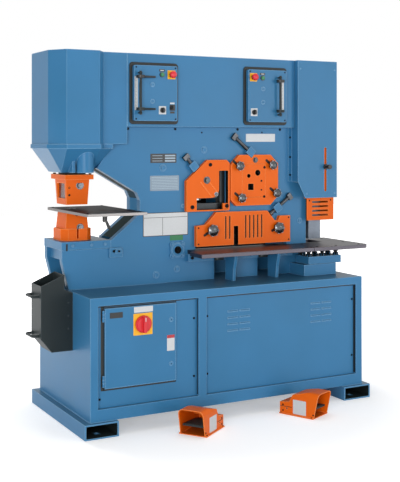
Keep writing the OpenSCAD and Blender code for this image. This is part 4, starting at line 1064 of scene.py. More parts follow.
@dataclass
class FramePlates:
    """Bolts and bare plates on the front plate."""

    face: float = -77.0
    painted: tuple[Disc, ...] = (
        (-34, 1487, 15), (-302, 1385, 15), (-346, 775, 15), (-212, 800, 14), (640, 1046, 13),
        (-173, 1163, 9))
    lip_screws: tuple[Disc, ...] = (
        (-521, 1608, 7), (-223, 1608, 7), (194, 1608, 7), (495, 1608, 7))
    small_screws: tuple[Disc, ...] = ((-48, 1588, 5), (366, 1590, 5))
    flange: float = 3.0
    flange_screws: tuple[Disc, ...] = ((567, 1560, 6), (567, 1440, 6), (567, 1330, 6))
    tags: tuple[Tag, ...] = (
        Tag("tag_black_upper", BLACK_PLATE, (-298, 1440, 166, 53)),
        Tag("tag_grey_middle", GREY_PLATE, (-291, 1297, 185, 87)),
        Tag("tag_rim_lower", BLACK_PLATE, (-284, 1062, 288, 135)),
        Tag("tag_white_small", WHITE_PLATE, (356, 1558, 206, 48)),
        Tag("tag_green_small", GREEN_PLATE, (-215, 981, 84, 30)),
        Tag("tag_white_lower", WHITE_PLATE, (-284, 1062, 280, 127), thick=0.4, lift=1.2),
    )
    ink: float = 0.3
    dark_rules: tuple[Rect, ...] = ((-284, 1101, 276, 2.4), (-304, 1049, 2.4, 98))
    dark_lift: float = 1.6
    pale_heights: tuple[float, ...] = (1425, 1440, 1455)
    pale_lines: range = range(1268, 1332, 9)
    pale_lift: float = 1.2
    pivot: Spot = (-212, 911)
    pivot_head: float = 14.0
    keeper: float = 10.0
    keeper_reach: float = 46.0

    def build(self) -> None:
        """Builds the bolts, the plates and the pivot's keeper bolt."""
        face = self.face
        painted = Sketch().bolts(Head.HEX, self.painted, face, washer=True)
        painted.piece("plate_bolts_painted", BLUE)
        Sketch().bolts(Head.SOCKET, self.lip_screws, face).piece("cover_lip_screws", OXIDE)
        Sketch().bolts(Head.DOME, self.small_screws, face).piece("plate_screws_small", OXIDE)
        flange = Sketch().bolts(Head.SOCKET, self.flange_screws, face - self.flange)
        flange.piece("flange_screws", OXIDE)
        for tag in self.tags:
            tag.lay(face)
        self.rule_tags()
        self.keep_pivot()

    def rule_tags(self) -> None:
        """Rules the three larger plates into bare fields."""
        dark = Sketch().plates(self.dark_rules, self.face - self.dark_lift, self.ink, 0.4)
        dark.piece("tag_rules_dark", BLACK_PLATE)
        front = self.face - self.pale_lift
        pale = Sketch()
        for z in self.pale_heights:
            pale.plates(((-256, z, 66, 9), (-337, z, 64, 3)), front, self.ink, 1.0)
        pale.plates([(-291, z, 165, 2) for z in self.pale_lines], front, self.ink, 0.6)
        pale.piece("tag_rules_pale", GREY_PLATE_PALE)

    def keep_pivot(self) -> None:
        """Adds the keeper's black centre bolt and its four painted screws."""
        x, z = self.pivot
        centre = Sketch().bolts(Head.SOCKET, [(x, z, 15)], self.face - self.pivot_head, washer=True)
        centre.piece("pivot_centre_bolt", OXIDE)
        angles = [math.radians(45 + 90 * k) for k in range(4)]
        lobes = [(x + self.keeper_reach * math.cos(a), z + self.keeper_reach * math.sin(a), 7)
                 for a in angles]
        screws = Sketch().bolts(Head.SOCKET, lobes, self.face - self.keeper, height=6 / 7)
        screws.piece("pivot_keeper_screws", BLUE, Slot.BLUE)


@dataclass
class Guards:
    """Fasteners, knob slots and linings that are dark plates of painted shadow, and the hold-down
    channel of the three orange guards.

    A slot has the knob's place, its heading in degrees and its length. A lining wall has the
    direction that it faces, its place along that axis, and its middle and length across.
    """

    face: float = -106.0
    angle_screws: tuple[Disc, ...] = ((-7, 1400, 11), (-126, 1155, 12), (104, 1156, 12))
    rod_screws: tuple[Disc, ...] = (
        (344, 1299, 6), (344, 1245, 5), (366, 1380, 8), (364, 1204, 8))
    flat_screws: tuple[Disc, ...] = ((-85, 938, 5), (-85, 1032, 5), (540, 938, 5), (540, 1072, 5))
    bolts: tuple[Disc, ...] = ((-30, 1310, 15), (302, 1425, 12))
    slots: tuple[Rect, ...] = (
        (184, 1391, 141, 60), (415, 1394, 141, 60), (197, 1200, 141, 60), (443, 1224, 141, 60),
        (1, 1016, 211, 69), (458, 1012, 204, 55))
    slot_width: float = 16.0
    sights: tuple[float, ...] = (98, 125, 235, 263, 291, 319, 347)
    sight_size: Spot = (10.6, 138)
    sight_height: float = 1028.0
    sight_deep: float = 11.0
    round_holes: tuple[Disc, ...] = ((319, 1348, 18), (256, 1330, 12))
    walls: tuple[tuple[Vector, float, float, float], ...] = (
        (OUT_UP, 1245, 270, 38), (OUT_DOWN, 1283, 270, 38), (OUT_LEFT, 289, 1264, 38),
        (OUT_RIGHT, 251, 1264, 38), (OUT_LEFT, 113, 1250.5, 226), (OUT_LEFT, 183, 979.5, 110),
        (OUT_UP, 1137, 8.5, 208), (OUT_DOWN, 1035, 167.5, 30))
    notch_back: Rect = (167.5, 1009, 30, 50)
    notch_deep: float = 29.0
    lining: float = 0.6
    lining_deep: float = 28.0
    lining_start: float = 0.5
    channel: Spot = (-18, 1270)
    channel_heading: float = 131.0
    channel_half: float = 22.0
    rail: Spot = (118, 7)
    corner_bolt: Disc = (33, 1227, 9)
    heel_tab: Rect = (96.2, 1154.8, 32.4, 34.4)
    heel_thick: float = 14.0
    knob_face: float = 39.2
    knob_cap: tuple[Spot, ...] = ((8, 0), (8, 1.2), (6.5, 2.4), (3, 2.4), (2.2, 1.2), (0, 1.2))

    def build(self) -> None:
        """Builds the parts of the three guards."""
        for name, discs, height in (("angle_guard_screws", self.angle_screws, 0.35),
                                    ("rod_guard_screws", self.rod_screws, 0.3),
                                    ("flat_guard_screws", self.flat_screws, 0.35)):
            Sketch().bolts(Head.SOCKET, discs, self.face, height).piece(name, OXIDE)
        zinc = Sketch().bolts(Head.HEX, self.bolts, self.face, washer=True)
        zinc.piece("guard_bolts_zinc", ZINC)
        self.shade_knob_slots()
        self.back_sights()
        self.shade_holes()
        self.lay_channel()
        self.cap_knobs()

    def shade_knob_slots(self) -> None:
        """Lays the keyhole slots that run out from under the knobs as dark plates of painted
        shadow.
        """
        sketch = Sketch()
        for x, z, heading, length in self.slots:
            turn = math.radians(heading)
            reach = (length - self.slot_width) / 2
            at = (x + reach * math.cos(turn), self.face, z + reach * math.sin(turn))
            sketch.plate(at, OUT_FRONT, (length, self.slot_width), 0.4, 7.9, turn=turn)
        sketch.piece("guard_knob_slot_shadows", SHADOW)

    def back_sights(self) -> None:
        """Sets a dark strip of painted shadow deep in each sight slot of the flat guard."""
        rects = [(x, self.sight_height, *self.sight_size) for x in self.sights]
        sketch = Sketch().plates(rects, self.face + self.sight_deep, 5, 5.2)
        sketch.piece("sight_slot_shadow_strips", SHADOW)

    def shade_holes(self) -> None:
        """Lines the bar holes, the L and the bottom notch of the guards with thin dark steel as
        painted shade.
        """
        deep, thin = self.lining_deep, self.lining
        start = self.face + self.lining_start
        sketch = Sketch()
        for x, z, radius in self.round_holes:
            rings = ((radius, 0), (radius, deep), (radius - thin, deep), (radius - thin, 0),
                     (radius, 0))
            sketch.turned([(x, z)], start + deep, [(*ring, ROUND) for ring in rings])
        middle = start + deep / 2
        for out, wall, across, length in self.walls:
            rect = (across, middle, length, deep) if out.z else (middle, across, deep, length)
            sketch.plates([rect], wall, thin, 0.2, out)
        sketch.plates([self.notch_back], self.face + self.notch_deep, thin, 0.2)
        sketch.piece("bar_hole_shade_sleeves", OXIDE)

    def lay_channel(self) -> None:
        """Adds the raised guide from the hold-down to the L's inner corner, its bolt and a tab."""
        turn = math.radians(self.channel_heading)
        x, z = self.channel
        rails = Sketch()
        for side in BOTH:
            reach = self.channel_half * side
            at = (x - reach * math.sin(turn), self.face, z + reach * math.cos(turn))
            rails.plate(at, OUT_FRONT, self.rail, 2.2, 3.0, turn=turn)
        rails.piece("angle_guide_rails", ORANGE, Slot.ORANGE)
        bright = Sketch().bolts(Head.DOME, [self.corner_bolt], self.face, height=7 / 9, washer=True)
        bright.piece("angle_corner_bolt", BRIGHT)
        tab = Sketch().plates([self.heel_tab], self.face + self.heel_thick, self.heel_thick, 2)
        tab.piece("angle_heel_tab", ORANGE, Slot.ORANGE)

    def cap_knobs(self) -> None:
        """Adds a turned cap on each star knob."""
        rings = [(*ring, ROUND) for ring in self.knob_cap]
        knobs = [(x, z) for x, z, _, _ in self.slots]
        Sketch().turned(knobs, self.face - self.knob_face, rings).piece("knob_caps", ZINC)


@dataclass
class PunchStation:
    """Fasteners and seals of the ram housing, stripper, die holder and bolster."""

    axis: Spot = (-800.0, 65.0)
    stripper_bolt: Disc = (-785, 1293, 16)
    stripper_boss: float = -16.0
    holder_bolt: Disc = (-782, 1060, 14)
    holder_boss: float = -13.0
    stripper_screws: tuple[Disc, ...] = ((-847, 1281, 6), (-847, 1240, 6))
    stripper_face: float = -15.0
    hole_plug: Disc = (-800, 1128, 7)
    holder_face: float = -4.5
    gland: float = 1353.2
    wiper: tuple[Spot, ...] = (
        (66.5, 0), (73, 0), (76, 3), (76, 9), (73, 12.4), (66.5, 12.4), (66.5, 0))
    flange: float = 1353.0
    flange_xs: Spot = (-868, -732)
    flange_ys: Spot = (-34, 164)
    arm: float = -77.0
    bracket: Rect = (-597, 917, 80, 54)
    bracket_thick: float = 12.0
    boss: Rect = (-585, 925, 40, 22)
    boss_thick: float = 10.0
    edge_slot: Rect = (-884, 958, 10, 40)
    bolster_screws: tuple[Disc, ...] = ((-850, 966, 9), (-740, 966, 9), (-660, 966, 9))
    welds: tuple[tuple[Point, Point], ...] = (
        ((-599, -38, 999), (-402, -38, 1129)), ((-402, -38, 1129), (-402, -38, 1204)))
    table: float = 1160.0
    table_screws: tuple[Disc, ...] = (
        (-865, -330, 8), (-565, -330, 8), (-865, 200, 8), (-565, 200, 8))

    def build(self) -> None:
        """Builds the parts round the punch."""
        for name, disc, boss in (("stripper_bolt", self.stripper_bolt, self.stripper_boss),
                                 ("die_holder_bolt", self.holder_bolt, self.holder_boss)):
            Sketch().bolts(Head.HEX, [disc], boss, washer=True).piece(name, BRIGHT)
        screws = Sketch().bolts(Head.SOCKET, self.stripper_screws, self.stripper_face, height=0.5)
        screws.piece("stripper_screws", OXIDE)
        plug = Sketch().bolts(Head.SOCKET, [self.hole_plug], self.holder_face, height=0.4)
        plug.piece("die_holder_hole_plug", OXIDE)
        self.seal_gland()
        self.bolt_housing()
        self.fit_bolster()
        self.fix_liner()
        self.mark_table()

    def seal_gland(self) -> None:
        """Adds the black wiper ring below the ram housing."""
        rings = [(*ring, ROUND) for ring in self.wiper]
        sketch = Sketch().turned([self.axis], self.gland, rings, OUT_UP, sides=48)
        sketch.piece("ram_wiper_ring", RUBBER, Slot.RUBBER)

    def bolt_housing(self) -> None:
        """Adds the bolts that hold the stripper's flange under the housing."""
        discs = [(x, y, 9) for x, y in product(self.flange_xs, self.flange_ys)]
        sketch = Sketch().bolts(Head.HEX, discs, self.flange, height=7 / 9, out=OUT_UP)
        sketch.piece("stripper_flange_bolts", OXIDE)

    def fit_bolster(self) -> None:
        """Adds the gauge bracket on the lower arm, the bolster's edge slot as a dark plate of
        painted shadow, and its screws.
        """
        step = self.arm - self.bracket_thick
        bracket = Sketch().plates([self.bracket], self.arm, self.bracket_thick, 4, soft=1.5)
        bracket.plates([self.boss], step, self.boss_thick, 3, soft=1.2)
        bracket.piece("gauge_bracket", BLUE, Slot.BLUE)
        dark = Sketch().bolts(Head.SOCKET, [(-612, 925, 7)], step, height=5 / 7)
        dark.bolts(Head.SOCKET, [(-585, 925, 6)], step - self.boss_thick, height=5 / 6)
        dark.piece("gauge_bracket_screws", OXIDE)
        Sketch().plates([self.edge_slot], self.arm, 0.4, 4.9).piece("bolster_edge_slot_shadow", SHADOW)
        Sketch().bolts(Head.SOCKET, self.bolster_screws, self.arm).piece("bolster_screws", BLUE)

    def fix_liner(self) -> None:
        """Adds a weld bead where the throat liner meets the front plate's inner face."""
        sketch = Sketch()
        for start, end in self.welds:
            sketch.bead(start, end)
        sketch.piece("throat_liner_weld", LINER, Slot.LINER)

    def mark_table(self) -> None:
        """Adds the graduated steel rule and the screws on the punch table."""
        TableRule("punch_table_rule", (-715, -372, 300, 14), (-860, -376), self.table, 1.0).lay()
        screws = Sketch().bolts(Head.SOCKET, self.table_screws, self.table, 2.5 / 8, out=OUT_UP)
        screws.piece("punch_table_screws", OXIDE)


@dataclass
class ControlStations:
    """Bezels, scales, small switches and screws on the two control panels."""

    face: float = -144.0
    stops: tuple[Spot, ...] = ((-280.0, 1915.0), (265.0, 1918.0))
    starts: tuple[Spot, ...] = ((-340.0, 1914.0), (329.0, 1915.0))
    turns: tuple[Spot, ...] = ((-337.0, 1713.0), (270.0, 1710.0))
    key: Spot = (-275.0, 1728.0)
    stop_plate: float = 1.2
    start_tag: float = 24.0
    bosses: tuple[Disc, ...] = (
        (-400, 1856, 10), (-400, 1762, 10), (332, 1850, 10), (332, 1770, 10))
    scales: Spot = (-500.0, 470.0)
    scale_ends: Spot = (1712.0, 1902.0)
    scale_thick: float = 0.8
    scale_step: float = 5.0
    middles: Spot = (-377.0, 365.0)
    height: float = 1808.0
    screw_reach: Spot = (123, 145)

    def build(self) -> None:
        """Builds the parts of both stations."""
        self.frame_switches()
        self.rule_scales()
        self.set_small_parts()

    def frame_switches(self) -> None:
        """Adds the plates and rings round the switches."""
        face = self.face
        x, z = self.key
        tags = [(x, z + self.start_tag) for x, z in self.starts]
        yellow = Sketch().bezels(self.stops, face, (50, 50), 11.5, self.stop_plate, 3)
        white = Sketch().plates([(*tag, 22, 4) for tag in tags], face - 1.0, 0.3, 0.5)
        white.bezels(self.turns, face, (46, 46), 12.2, 0.4, 2)
        white.plates([(x, z + 25, 28, 9)], face, 0.8, 1.0)
        dark = Sketch().bezels(self.stops, face - self.stop_plate, (30, 30), 11.5, 4.0, 14.9)
        dark.plates([(*tag, 34, 13) for tag in tags], face, 1.0, 1.5)
        dark.bezels([self.key], face, (34, 34), 12.2, 0.4, 3)
        dark.plates([(x, z - 27, 28, 12)], face, 0.8, 1.0)
        yellow.piece("stop_plates", YELLOW_PLATE)
        white.piece("switch_plates_white", WHITE_PLATE)
        Sketch().bezels(self.starts, face, (31, 31), 12.0, 5.0, 15.4).piece("start_rings", ZINC)
        dark.piece("switch_collars", PLASTIC, Slot.PLASTIC)

    def rule_scales(self) -> None:
        """Adds the two stroke scales with their marks, of which every fourth is long."""
        low, high = self.scale_ends
        strips, marks = [], []
        for x in self.scales:
            strips.append((x, (low + high) / 2, 20, high - low))
            for k in range(int((high - low) / self.scale_step)):
                long = 11 if k % 4 == 0 else 6
                marks.append((x - 9 + long / 2, low + 4 + self.scale_step * k, long, 1.3))
        strip = Sketch().plates(strips, self.face, self.scale_thick, 1.0)
        strip.piece("stroke_scales", WHITE_PLATE)
        ink = Sketch().plates(marks, self.face - self.scale_thick, 0.2, 0.2)
        ink.piece("stroke_scale_marks", BLACK_PLATE)

    def set_small_parts(self) -> None:
        """Adds the guide bosses, the corner screws of the panels and the travel slots as dark
        plates of painted shadow.
        """
        boss = Sketch().bolts(Head.HEX, self.bosses, self.face, height=0.7, washer=True)
        boss.piece("station_bosses", BLUE, Slot.BLUE)
        across, rise = self.screw_reach
        discs = [(middle + sx * across, self.height + sz * rise, 5)
                 for middle, sx, sz in product(self.middles, BOTH, BOTH)]
        screws = Sketch().bolts(Head.DOME, discs, self.face, height=0.5)
        screws.piece("station_screws", OXIDE)
        dark = Sketch().plates([(-474, self.height, 16, 120)], self.face, 0.5, 4)
        dark.plates([(452, self.height, 8, 120)], self.face, 0.5, 3)
        dark.piece("station_travel_slot_shadows", SHADOW)


@dataclass
class Cabinet:
    """Screws, gaskets that are partly painted shade, plates, welds and tube linings of mill scale
    and painted shade of the base cabinet and its door.
    """

    panel: float = -374.0
    door: float = -386.0
    screws: tuple[Disc, ...] = (
        (-175, 572, 6), (-175, 254, 6), (815, 590, 6), (815, 254, 6), (-258, 568, 6),
        (-258, 251, 6), (-815, 191, 6))
    tags: tuple[Tag, ...] = (
        Tag("door_tag_dark", BLACK_PLATE, (-725, 625, 74, 30), 0.9),
        Tag("door_label_bare", WHITE_PLATE, (-406, 450, 45, 85), 0.9),
        Tag("door_plate_white", WHITE_PLATE, (-568, 644, 111, 30), 0.9),
        Tag("door_label_band", RED_PLATE, (-406, 484, 45, 17), 0.3, 0.5, 0.9),
    )
    disconnect: Spot = (-571, 566)
    knob: float = 37.0
    latches: tuple[Spot, ...] = ((-404, 338), (-404, 575))
    latch: float = 5.0
    gasket: float = 0.8
    door_seal_and_shade: tuple[Rect, ...] = (
        (-799, 454, 19, 442), (-371, 454, 5, 442), (-581.5, 238, 425, 11), (-581.5, 667, 425, 5))
    panel_seal_and_shade: tuple[Rect, ...] = (
        (-828, 412, 4, 520), (828, 412, 4, 520), (-534.5, 675, 580, 8), (320.5, 675, 1008, 8))
    return_seal_and_shade: tuple[Spot, ...] = ((-239.0, 9.0), (830.0, 15.0))
    welds: tuple[tuple[Point, Point], ...] = (
        ((-875, -390, 80), (-875, 390, 80)), ((875, -390, 80), (875, 390, 80)),
        ((-875, -396, 80), (-725, -396, 80)), ((-875, 396, 80), (-725, 396, 80)),
        ((725, -396, 80), (875, -396, 80)), ((725, 396, 80), (875, 396, 80)),
        ((-872, -78, 725), (-280, -78, 725)), ((-870, 208, 725), (680, 208, 725)))
    tubes: Spot = (-820.0, 820.0)
    tube_half: float = 87.0
    tube_low: float = 8.0
    tube_high: float = 72.0
    tube_run: float = 836.0
    # Thickness of the mill scale sheets, which also stand for painted shade.
    scale: float = 0.4

    def build(self) -> None:
        """Builds the parts of the cabinet."""
        screws = Sketch().bolts(Head.SOCKET, self.screws, self.panel, height=0.5)
        screws.piece("panel_screws", OXIDE)
        for tag in self.tags:
            tag.lay(self.door, DOOR)
        self.mark_disconnect()
        self.slot_latches()
        self.seal_and_shade_door()
        self.weld_frame()
        self.line_and_shade_tubes()

    def mark_disconnect(self) -> None:
        """Adds the disconnect's yellow plate and the pointer on its knob."""
        plate = Sketch().bezels([self.disconnect], self.door, (112, 116), 9.5, 0.7, 3)
        plate.piece("disconnect_plate", YELLOW_PLATE, body=DOOR)
        x, z = self.disconnect
        pointer = Sketch().plates([(x, z + 28, 4, 22)], self.door - self.knob, 0.5, 1.5)
        pointer.piece("disconnect_pointer", WHITE_PLATE, body="disconnect_knob")

    def slot_latches(self) -> None:
        """Adds the rims of the two door latches, and their key slots as dark plates of painted
        shadow.
        """
        face = self.door - self.latch
        rims = Sketch().bezels(self.latches, face, (20, 20), 6.0, 1.0, 9.9)
        rims.piece("latch_rims", BLUE, Slot.BLUE, body=DOOR)
        dark = Sketch()
        for x, z in self.latches:
            dark.plate((x, face, z), OUT_FRONT, (9, 2.6), 0.3, 1.0, turn=0.5)
        dark.piece("latch_slot_shadows", SHADOW, body=DOOR)

    def seal_and_shade_door(self) -> None:
        """Adds the black gasket, partly a real seal and partly painted shade, that shows as a dark
        line round the door and the panels.
        """
        sketch = Sketch().plates(self.door_seal_and_shade, self.panel, self.gasket, 2)
        sketch.plates(self.panel_seal_and_shade, self.panel, self.gasket, 1)
        for x, width in self.return_seal_and_shade:
            rect = (self.panel - width / 2 - 1, 412, width, 526)
            sketch.plates([rect], x, self.gasket, 1, OUT_LEFT)
        sketch.piece("door_gasket_and_shade", RUBBER, Slot.RUBBER)

    def weld_frame(self) -> None:
        """Adds the weld beads between the cabinet, its fork tubes and the frame plates."""
        sketch = Sketch()
        for start, end in self.welds:
            sketch.bead(start, end)
        sketch.piece("cabinet_welds", BLUE, Slot.BLUE)

    def line_and_shade_tubes(self) -> None:
        """Lays mill scale, which also stands for painted shade, on the inner faces of the fork
        tubes, clear of the anchor holes.
        """
        half, low, high, run = self.tube_half, self.tube_low, self.tube_high, self.tube_run
        side = (0, (low + high) / 2, run, high - low)
        sketch = Sketch()
        for middle in self.tubes:
            sketch.plates([(middle, 0, 2 * half, run)], high, self.scale, 1, OUT_DOWN)
            sketch.plates([side], middle - half, self.scale, 1, OUT_RIGHT)
            sketch.plates([side], middle + half, self.scale, 1, OUT_LEFT)
            floor = [(middle + 52 * way, 0, 70, run) for way in BOTH]
            floor += [(middle, y, 34, length) for y, length in ((-394, 48), (0, 648), (394, 48))]
            sketch.plates(floor, low, self.scale, 1, OUT_UP)
        sketch.piece("fork_tube_scale_and_shade", SCALE_AND_SHADE)


@dataclass
class Notcher:
    """Jam nuts, screws and the channel behind the stop's slot of the notcher."""

    step: float = 838.2
    xs: tuple[float, ...] = (625.0, 725.0, 825.0)
    ys: tuple[float, ...] = (-197.0, -117.0)
    jam_nut: tuple[Ring, ...] = (
        (19.5, 0, SIX), (19.5, 12, SIX), (17.6, 14.6, ROUND), (11, 14.6, ROUND), (11, 24, ROUND),
        (17.5, 24, SIX), (17.5, 34, SIX), (15, 36, ROUND), (10.6, 36, ROUND), (10.6, 45.6, ROUND))
    slot: Rect = (786, 1363, 34, 300)
    slot_back: float = -134.5
    lip_reach: float = 18.5
    lip_deep: float = 9.4
    guard: float = -112.0
    guard_screws: tuple[Disc, ...] = ((690, 1170, 5), (850, 1170, 5))
    cover: float = -147.0
    cover_screws: tuple[Disc, ...] = (
        (600, 1980, 6), (855, 1980, 6), (855, 1215, 6), (648, 1215, 6))
    table: float = 906.0
    table_screws: tuple[Disc, ...] = (
        (620, -290, 8), (760, -290, 8), (930, -290, 8), (620, -130, 8), (930, -130, 8),
        (930, 100, 8))

    def build(self) -> None:
        """Builds the parts of the notcher."""
        nuts = Sketch().turned(product(self.xs, self.ys), self.step, self.jam_nut, OUT_UP)
        nuts.piece("levelling_bolts", OXIDE)
        self.line_slot()
        guard = Sketch().bolts(Head.DOME, self.guard_screws, self.guard, height=0.5)
        guard.piece("notcher_guard_screws", OXIDE)
        cover = Sketch().bolts(Head.DOME, self.cover_screws, self.cover, height=0.4)
        cover.piece("notcher_cover_screws", BLUE)
        table = Sketch().bolts(Head.SOCKET, self.table_screws, self.table, height=0.2, out=OUT_UP)
        table.piece("notcher_table_screws", OXIDE)

    def line_slot(self) -> None:
        """Adds the orange channel behind the stop's slot, whose lips reach the cover's sheet."""
        x, z, _, height = self.slot
        sketch = Sketch().plates([self.slot], self.slot_back, 2, 3)
        lips = [(x + self.lip_reach * side, z, 3, height) for side in BOTH]
        sketch.plates(lips, self.slot_back, self.lip_deep, 0.5)
        sketch.piece("stop_slot_strip", ORANGE, Slot.ORANGE)


@dataclass
class ShearTable:
    """Blade screws, clamps and rule of the shear table."""

    top: float = 906.0
    bar: float = -111.0
    screw_xs: tuple[float, ...] = (-130, -60, 40, 120, 260, 340, 430, 520)
    screw_height: float = 862.0
    clamp_xs: Spot = (45.0, 350.0)
    clamp_thick: float = 14.0
    nut_reach: float = 18.0

    def build(self) -> None:
        """Builds the parts of the shear table."""
        discs = [(x, self.screw_height, 9) for x in self.screw_xs]
        screws = Sketch().bolts(Head.SOCKET, discs, self.bar, height=8 / 9)
        screws.piece("blade_bar_screws", OXIDE)
        front = self.bar - self.clamp_thick
        clamp = Sketch().plates([(x, 858, 58, 34) for x in self.clamp_xs], self.bar,
                                self.clamp_thick, 3, soft=1.5)
        clamp.plates([(x, 862, 30, 20) for x in self.clamp_xs], front, 10, 2, soft=1.0)
        clamp.piece("blade_clamps", BLACK, Slot.BLACK)
        discs = [(x + self.nut_reach * side, 852, 6) for x, side in product(self.clamp_xs, BOTH)]
        Sketch().bolts(Head.HEX, discs, front, height=5 / 6).piece("blade_clamp_nuts", ZINC)
        TableRule("shear_table_rule", (190, -316, 700, 14), (-156, -322), self.top, 0.8).lay()


@dataclass
class Pedal:
    """Side plates, joint lines of painted shadow, screws and treadle ribs of one foot pedal, in the
    pedal's own measures.

    The pedal's X runs to its heel and Y to its left side.
    """

    side: str
    x: float
    y: float
    heading: float
    half: float = 74.0
    plate: Spot = (84, 80)
    seam_shadow: Spot = (76, 3)
    shell_screws: tuple[Spot, ...] = ((-92, 22), (104, 20), (104, 52))
    flange_xs: Spot = (-82, 116)
    flange_ys: Spot = (-77, 77)
    treadle_fall: float = 8.0
    treadle_run: float = 154.0
    treadle_heel: Spot = (69, 46)
    rib: Spot = (112, 5)
    rib_first: float = -78.0
    rib_step: float = 12.0
    rib_count: int = 11

    def ways(self) -> tuple[Vector, Vector]:
        """Returns the directions to the heel and to the left side."""
        turn = math.radians(self.heading)
        heel = Vector((math.cos(turn), math.sin(turn), 0.0))
        return heel, OUT_UP.cross(heel)

    def put(self, x: float, y: float, z: float) -> Vector:
        """Turns a pedal's own point into a point of the machine.

        Args:
            x: Distance toward the heel.
            y: Distance toward the pedal's left side.
            z: Height.

        Returns:
            The point in the machine's frame.
        """
        heel, left = self.ways()
        return Vector((self.x, self.y, z)) + heel * x + left * y

    def build(self) -> None:
        """Builds the parts of the pedal."""
        self.dress_shell()
        self.rib_treadle()

    def dress_shell(self) -> None:
        """Adds the bare plates, the dark joint lines of painted shadow and the screws of the shell.
        """
        _, left = self.ways()
        plates, screws, seam_shadows = Sketch(), Sketch(), Sketch()
        for face in BOTH:
            out, y = left * face, face * self.half
            plates.plate(self.put(-4, y, 50), out, self.plate, 0.8, 2)
            seam_shadows.plate(self.put(84, y, 44), out, self.seam_shadow, 0.3, 1)
            for x, z in self.shell_screws:
                screws.bolt(self.put(x, y, z), out, Head.DOME, 5, 3)
        for x, y in product(self.flange_xs, self.flange_ys):
            screws.bolt(self.put(x, y, 6), OUT_UP, Head.SOCKET, 3.5, 2.5)
        plates.piece(f"pedal_{self.side}_plates", WHITE_PLATE)
        seam_shadows.piece(f"pedal_{self.side}_seams", SHADOW)
        screws.piece(f"pedal_{self.side}_screws", OXIDE)

    def rib_treadle(self) -> None:
        """Adds the rubber ribs on the treadle."""
        heel, left = self.ways()
        slope = math.atan2(self.treadle_fall, self.treadle_run)
        out = heel * math.sin(slope) + OUT_UP * math.cos(slope)
        right, _, _ = Sketch.axes(out)
        angle = math.atan2(right.cross(left).dot(out), right.dot(left))
        end, height = self.treadle_heel
        sketch = Sketch()
        for k in range(self.rib_count):
            x = self.rib_first + self.rib_step * k
            z = height + (end - x) * self.treadle_fall / self.treadle_run
            sketch.plate(self.put(x, 0, z), out, self.rib, 2.0, 2.4, turn=angle)
        body = f"treadle_{self.side}"
        sketch.piece(f"{body}_ribs", RUBBER, Slot.RUBBER, body=body)


@dataclass
class SlugBin:
    """Rivets of the slug bin and flanges of its pull bars."""

    left: float = -1055.0
    front: float = -144.0
    rivets: tuple[Disc, ...] = ((-900, 530, 5), (-900, 600, 5), (-900, 670, 5))
    bar_ys: Spot = (-122, -9)
    bar_zs: Spot = (710, 500)

    def build(self) -> None:
        """Builds the bin's rivets and the flanges of its pull bars."""
        rivets = Sketch().bolts(Head.DOME, self.rivets, self.front, height=0.5)
        rivets.piece("bin_rivets", BLACK, Slot.BLACK)
        ends = product(self.bar_ys, self.bar_zs)
        flanges = Sketch().bezels(ends, self.left, (26, 26), 7.4, 3.0, 12.9, OUT_LEFT)
        flanges.piece("pull_bar_flanges", BLACK, Slot.BLACK)


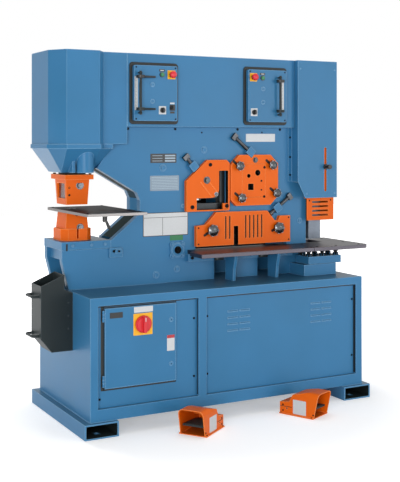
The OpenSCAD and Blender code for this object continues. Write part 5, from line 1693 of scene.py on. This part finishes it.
@dataclass
class RearSide:
    """Access panels, louvres and fittings at the back and the right end."""

    back: float = 396.0
    panels: tuple[Rect, ...] = ((-420.0, 410.0, 640.0, 480.0), (400.0, 410.0, 760.0, 480.0))
    sheet: float = 3.0
    screw_inset: float = 22.0
    louvre_xs: Spot = (250.0, 550.0)
    louvre_zs: range = range(330, 534, 34)
    end: float = 875.0
    gauge: Spot = (60, 300)
    gauge_thick: float = 8.0
    gauge_reach: float = 48.0
    plug: Spot = (-60, 140)
    plug_rings: tuple[Ring, ...] = (
        (20, 0, ROUND), (20, 4, ROUND), (15, 5, ROUND), (13, 5, SIX), (13, 13, SIX),
        (11, 15, ROUND), (0, 15, ROUND))
    cover: float = 241.0
    cover_xs: tuple[float, ...] = (-480, -100, 280, 540)
    cover_zs: Spot = (1660, 1990)

    def build(self) -> None:
        """Builds the rear panels, their screws and louvres, and the end fittings."""
        front = self.back + self.sheet
        panels = Sketch().plates(self.panels, self.back, self.sheet, 8, OUT_BACK, soft=1)
        panels.piece("rear_panels", BLUE, Slot.BLUE)
        discs = [(x + sx * (width / 2 - self.screw_inset),
                  z + sz * (height / 2 - self.screw_inset), 6)
                 for (x, z, width, height), sx, sz in product(self.panels, (-1, 0, 1), BOTH)]
        screws = Sketch().bolts(Head.SOCKET, discs, front, height=4 / 6, out=OUT_BACK)
        screws.piece("rear_panel_screws", OXIDE)
        louvres = Sketch()
        for x, z in product(self.louvre_xs, self.louvre_zs):
            louvres.hood((x, front, z), OUT_BACK, 160, 9, 8)
        louvres.piece("rear_louvres", BLUE, Slot.BLUE)
        self.fit_ends()

    def fit_ends(self) -> None:
        """Adds the oil gauge and the drain plug at the right end, and the rear cover's screws."""
        y, z = self.gauge
        front = self.end + self.gauge_thick
        nuts = [(y, z + self.gauge_reach * side, 8) for side in BOTH]
        body = Sketch().plates([(y, z, 30, 130)], self.end, self.gauge_thick, 12, OUT_RIGHT, soft=2)
        body.bolts(Head.HEX, nuts, front, height=5 / 8, out=OUT_RIGHT)
        body.piece("oil_gauge_body", PLASTIC, Slot.PLASTIC)
        glass = Sketch().plates([(y, z, 12, 62)], front, 2, 5.9, OUT_RIGHT, soft=1)
        glass.piece("oil_gauge_glass", OIL)
        plug = Sketch().turned([self.plug], self.end, self.plug_rings, OUT_RIGHT)
        plug.piece("drain_plug", ZINC)
        discs = [(x, z, 7) for x, z in product(self.cover_xs, self.cover_zs)]
        screws = Sketch().bolts(Head.DOME, discs, self.cover, height=3 / 7, out=OUT_BACK)
        screws.piece("rear_cover_screws", OXIDE)


def main() -> None:
    """Builds the stage and the sub-assemblies in order."""
    logging.basicConfig(level=logging.INFO, format="%(message)s")
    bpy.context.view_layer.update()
    Stage().build()
    CadDress().dress()
    for assembly in (FramePlates(), Guards(), PunchStation(), ControlStations(), Cabinet(),
                     Notcher(), ShearTable(), Pedal("left", -305.0, -541.0, 35.3),
                     Pedal("right", 370.0, -536.0, 114.8), SlugBin(), RearSide()):
        LOG.info("building %s", type(assembly).__name__)
        assembly.build()


if __name__ == "__main__":
    main()
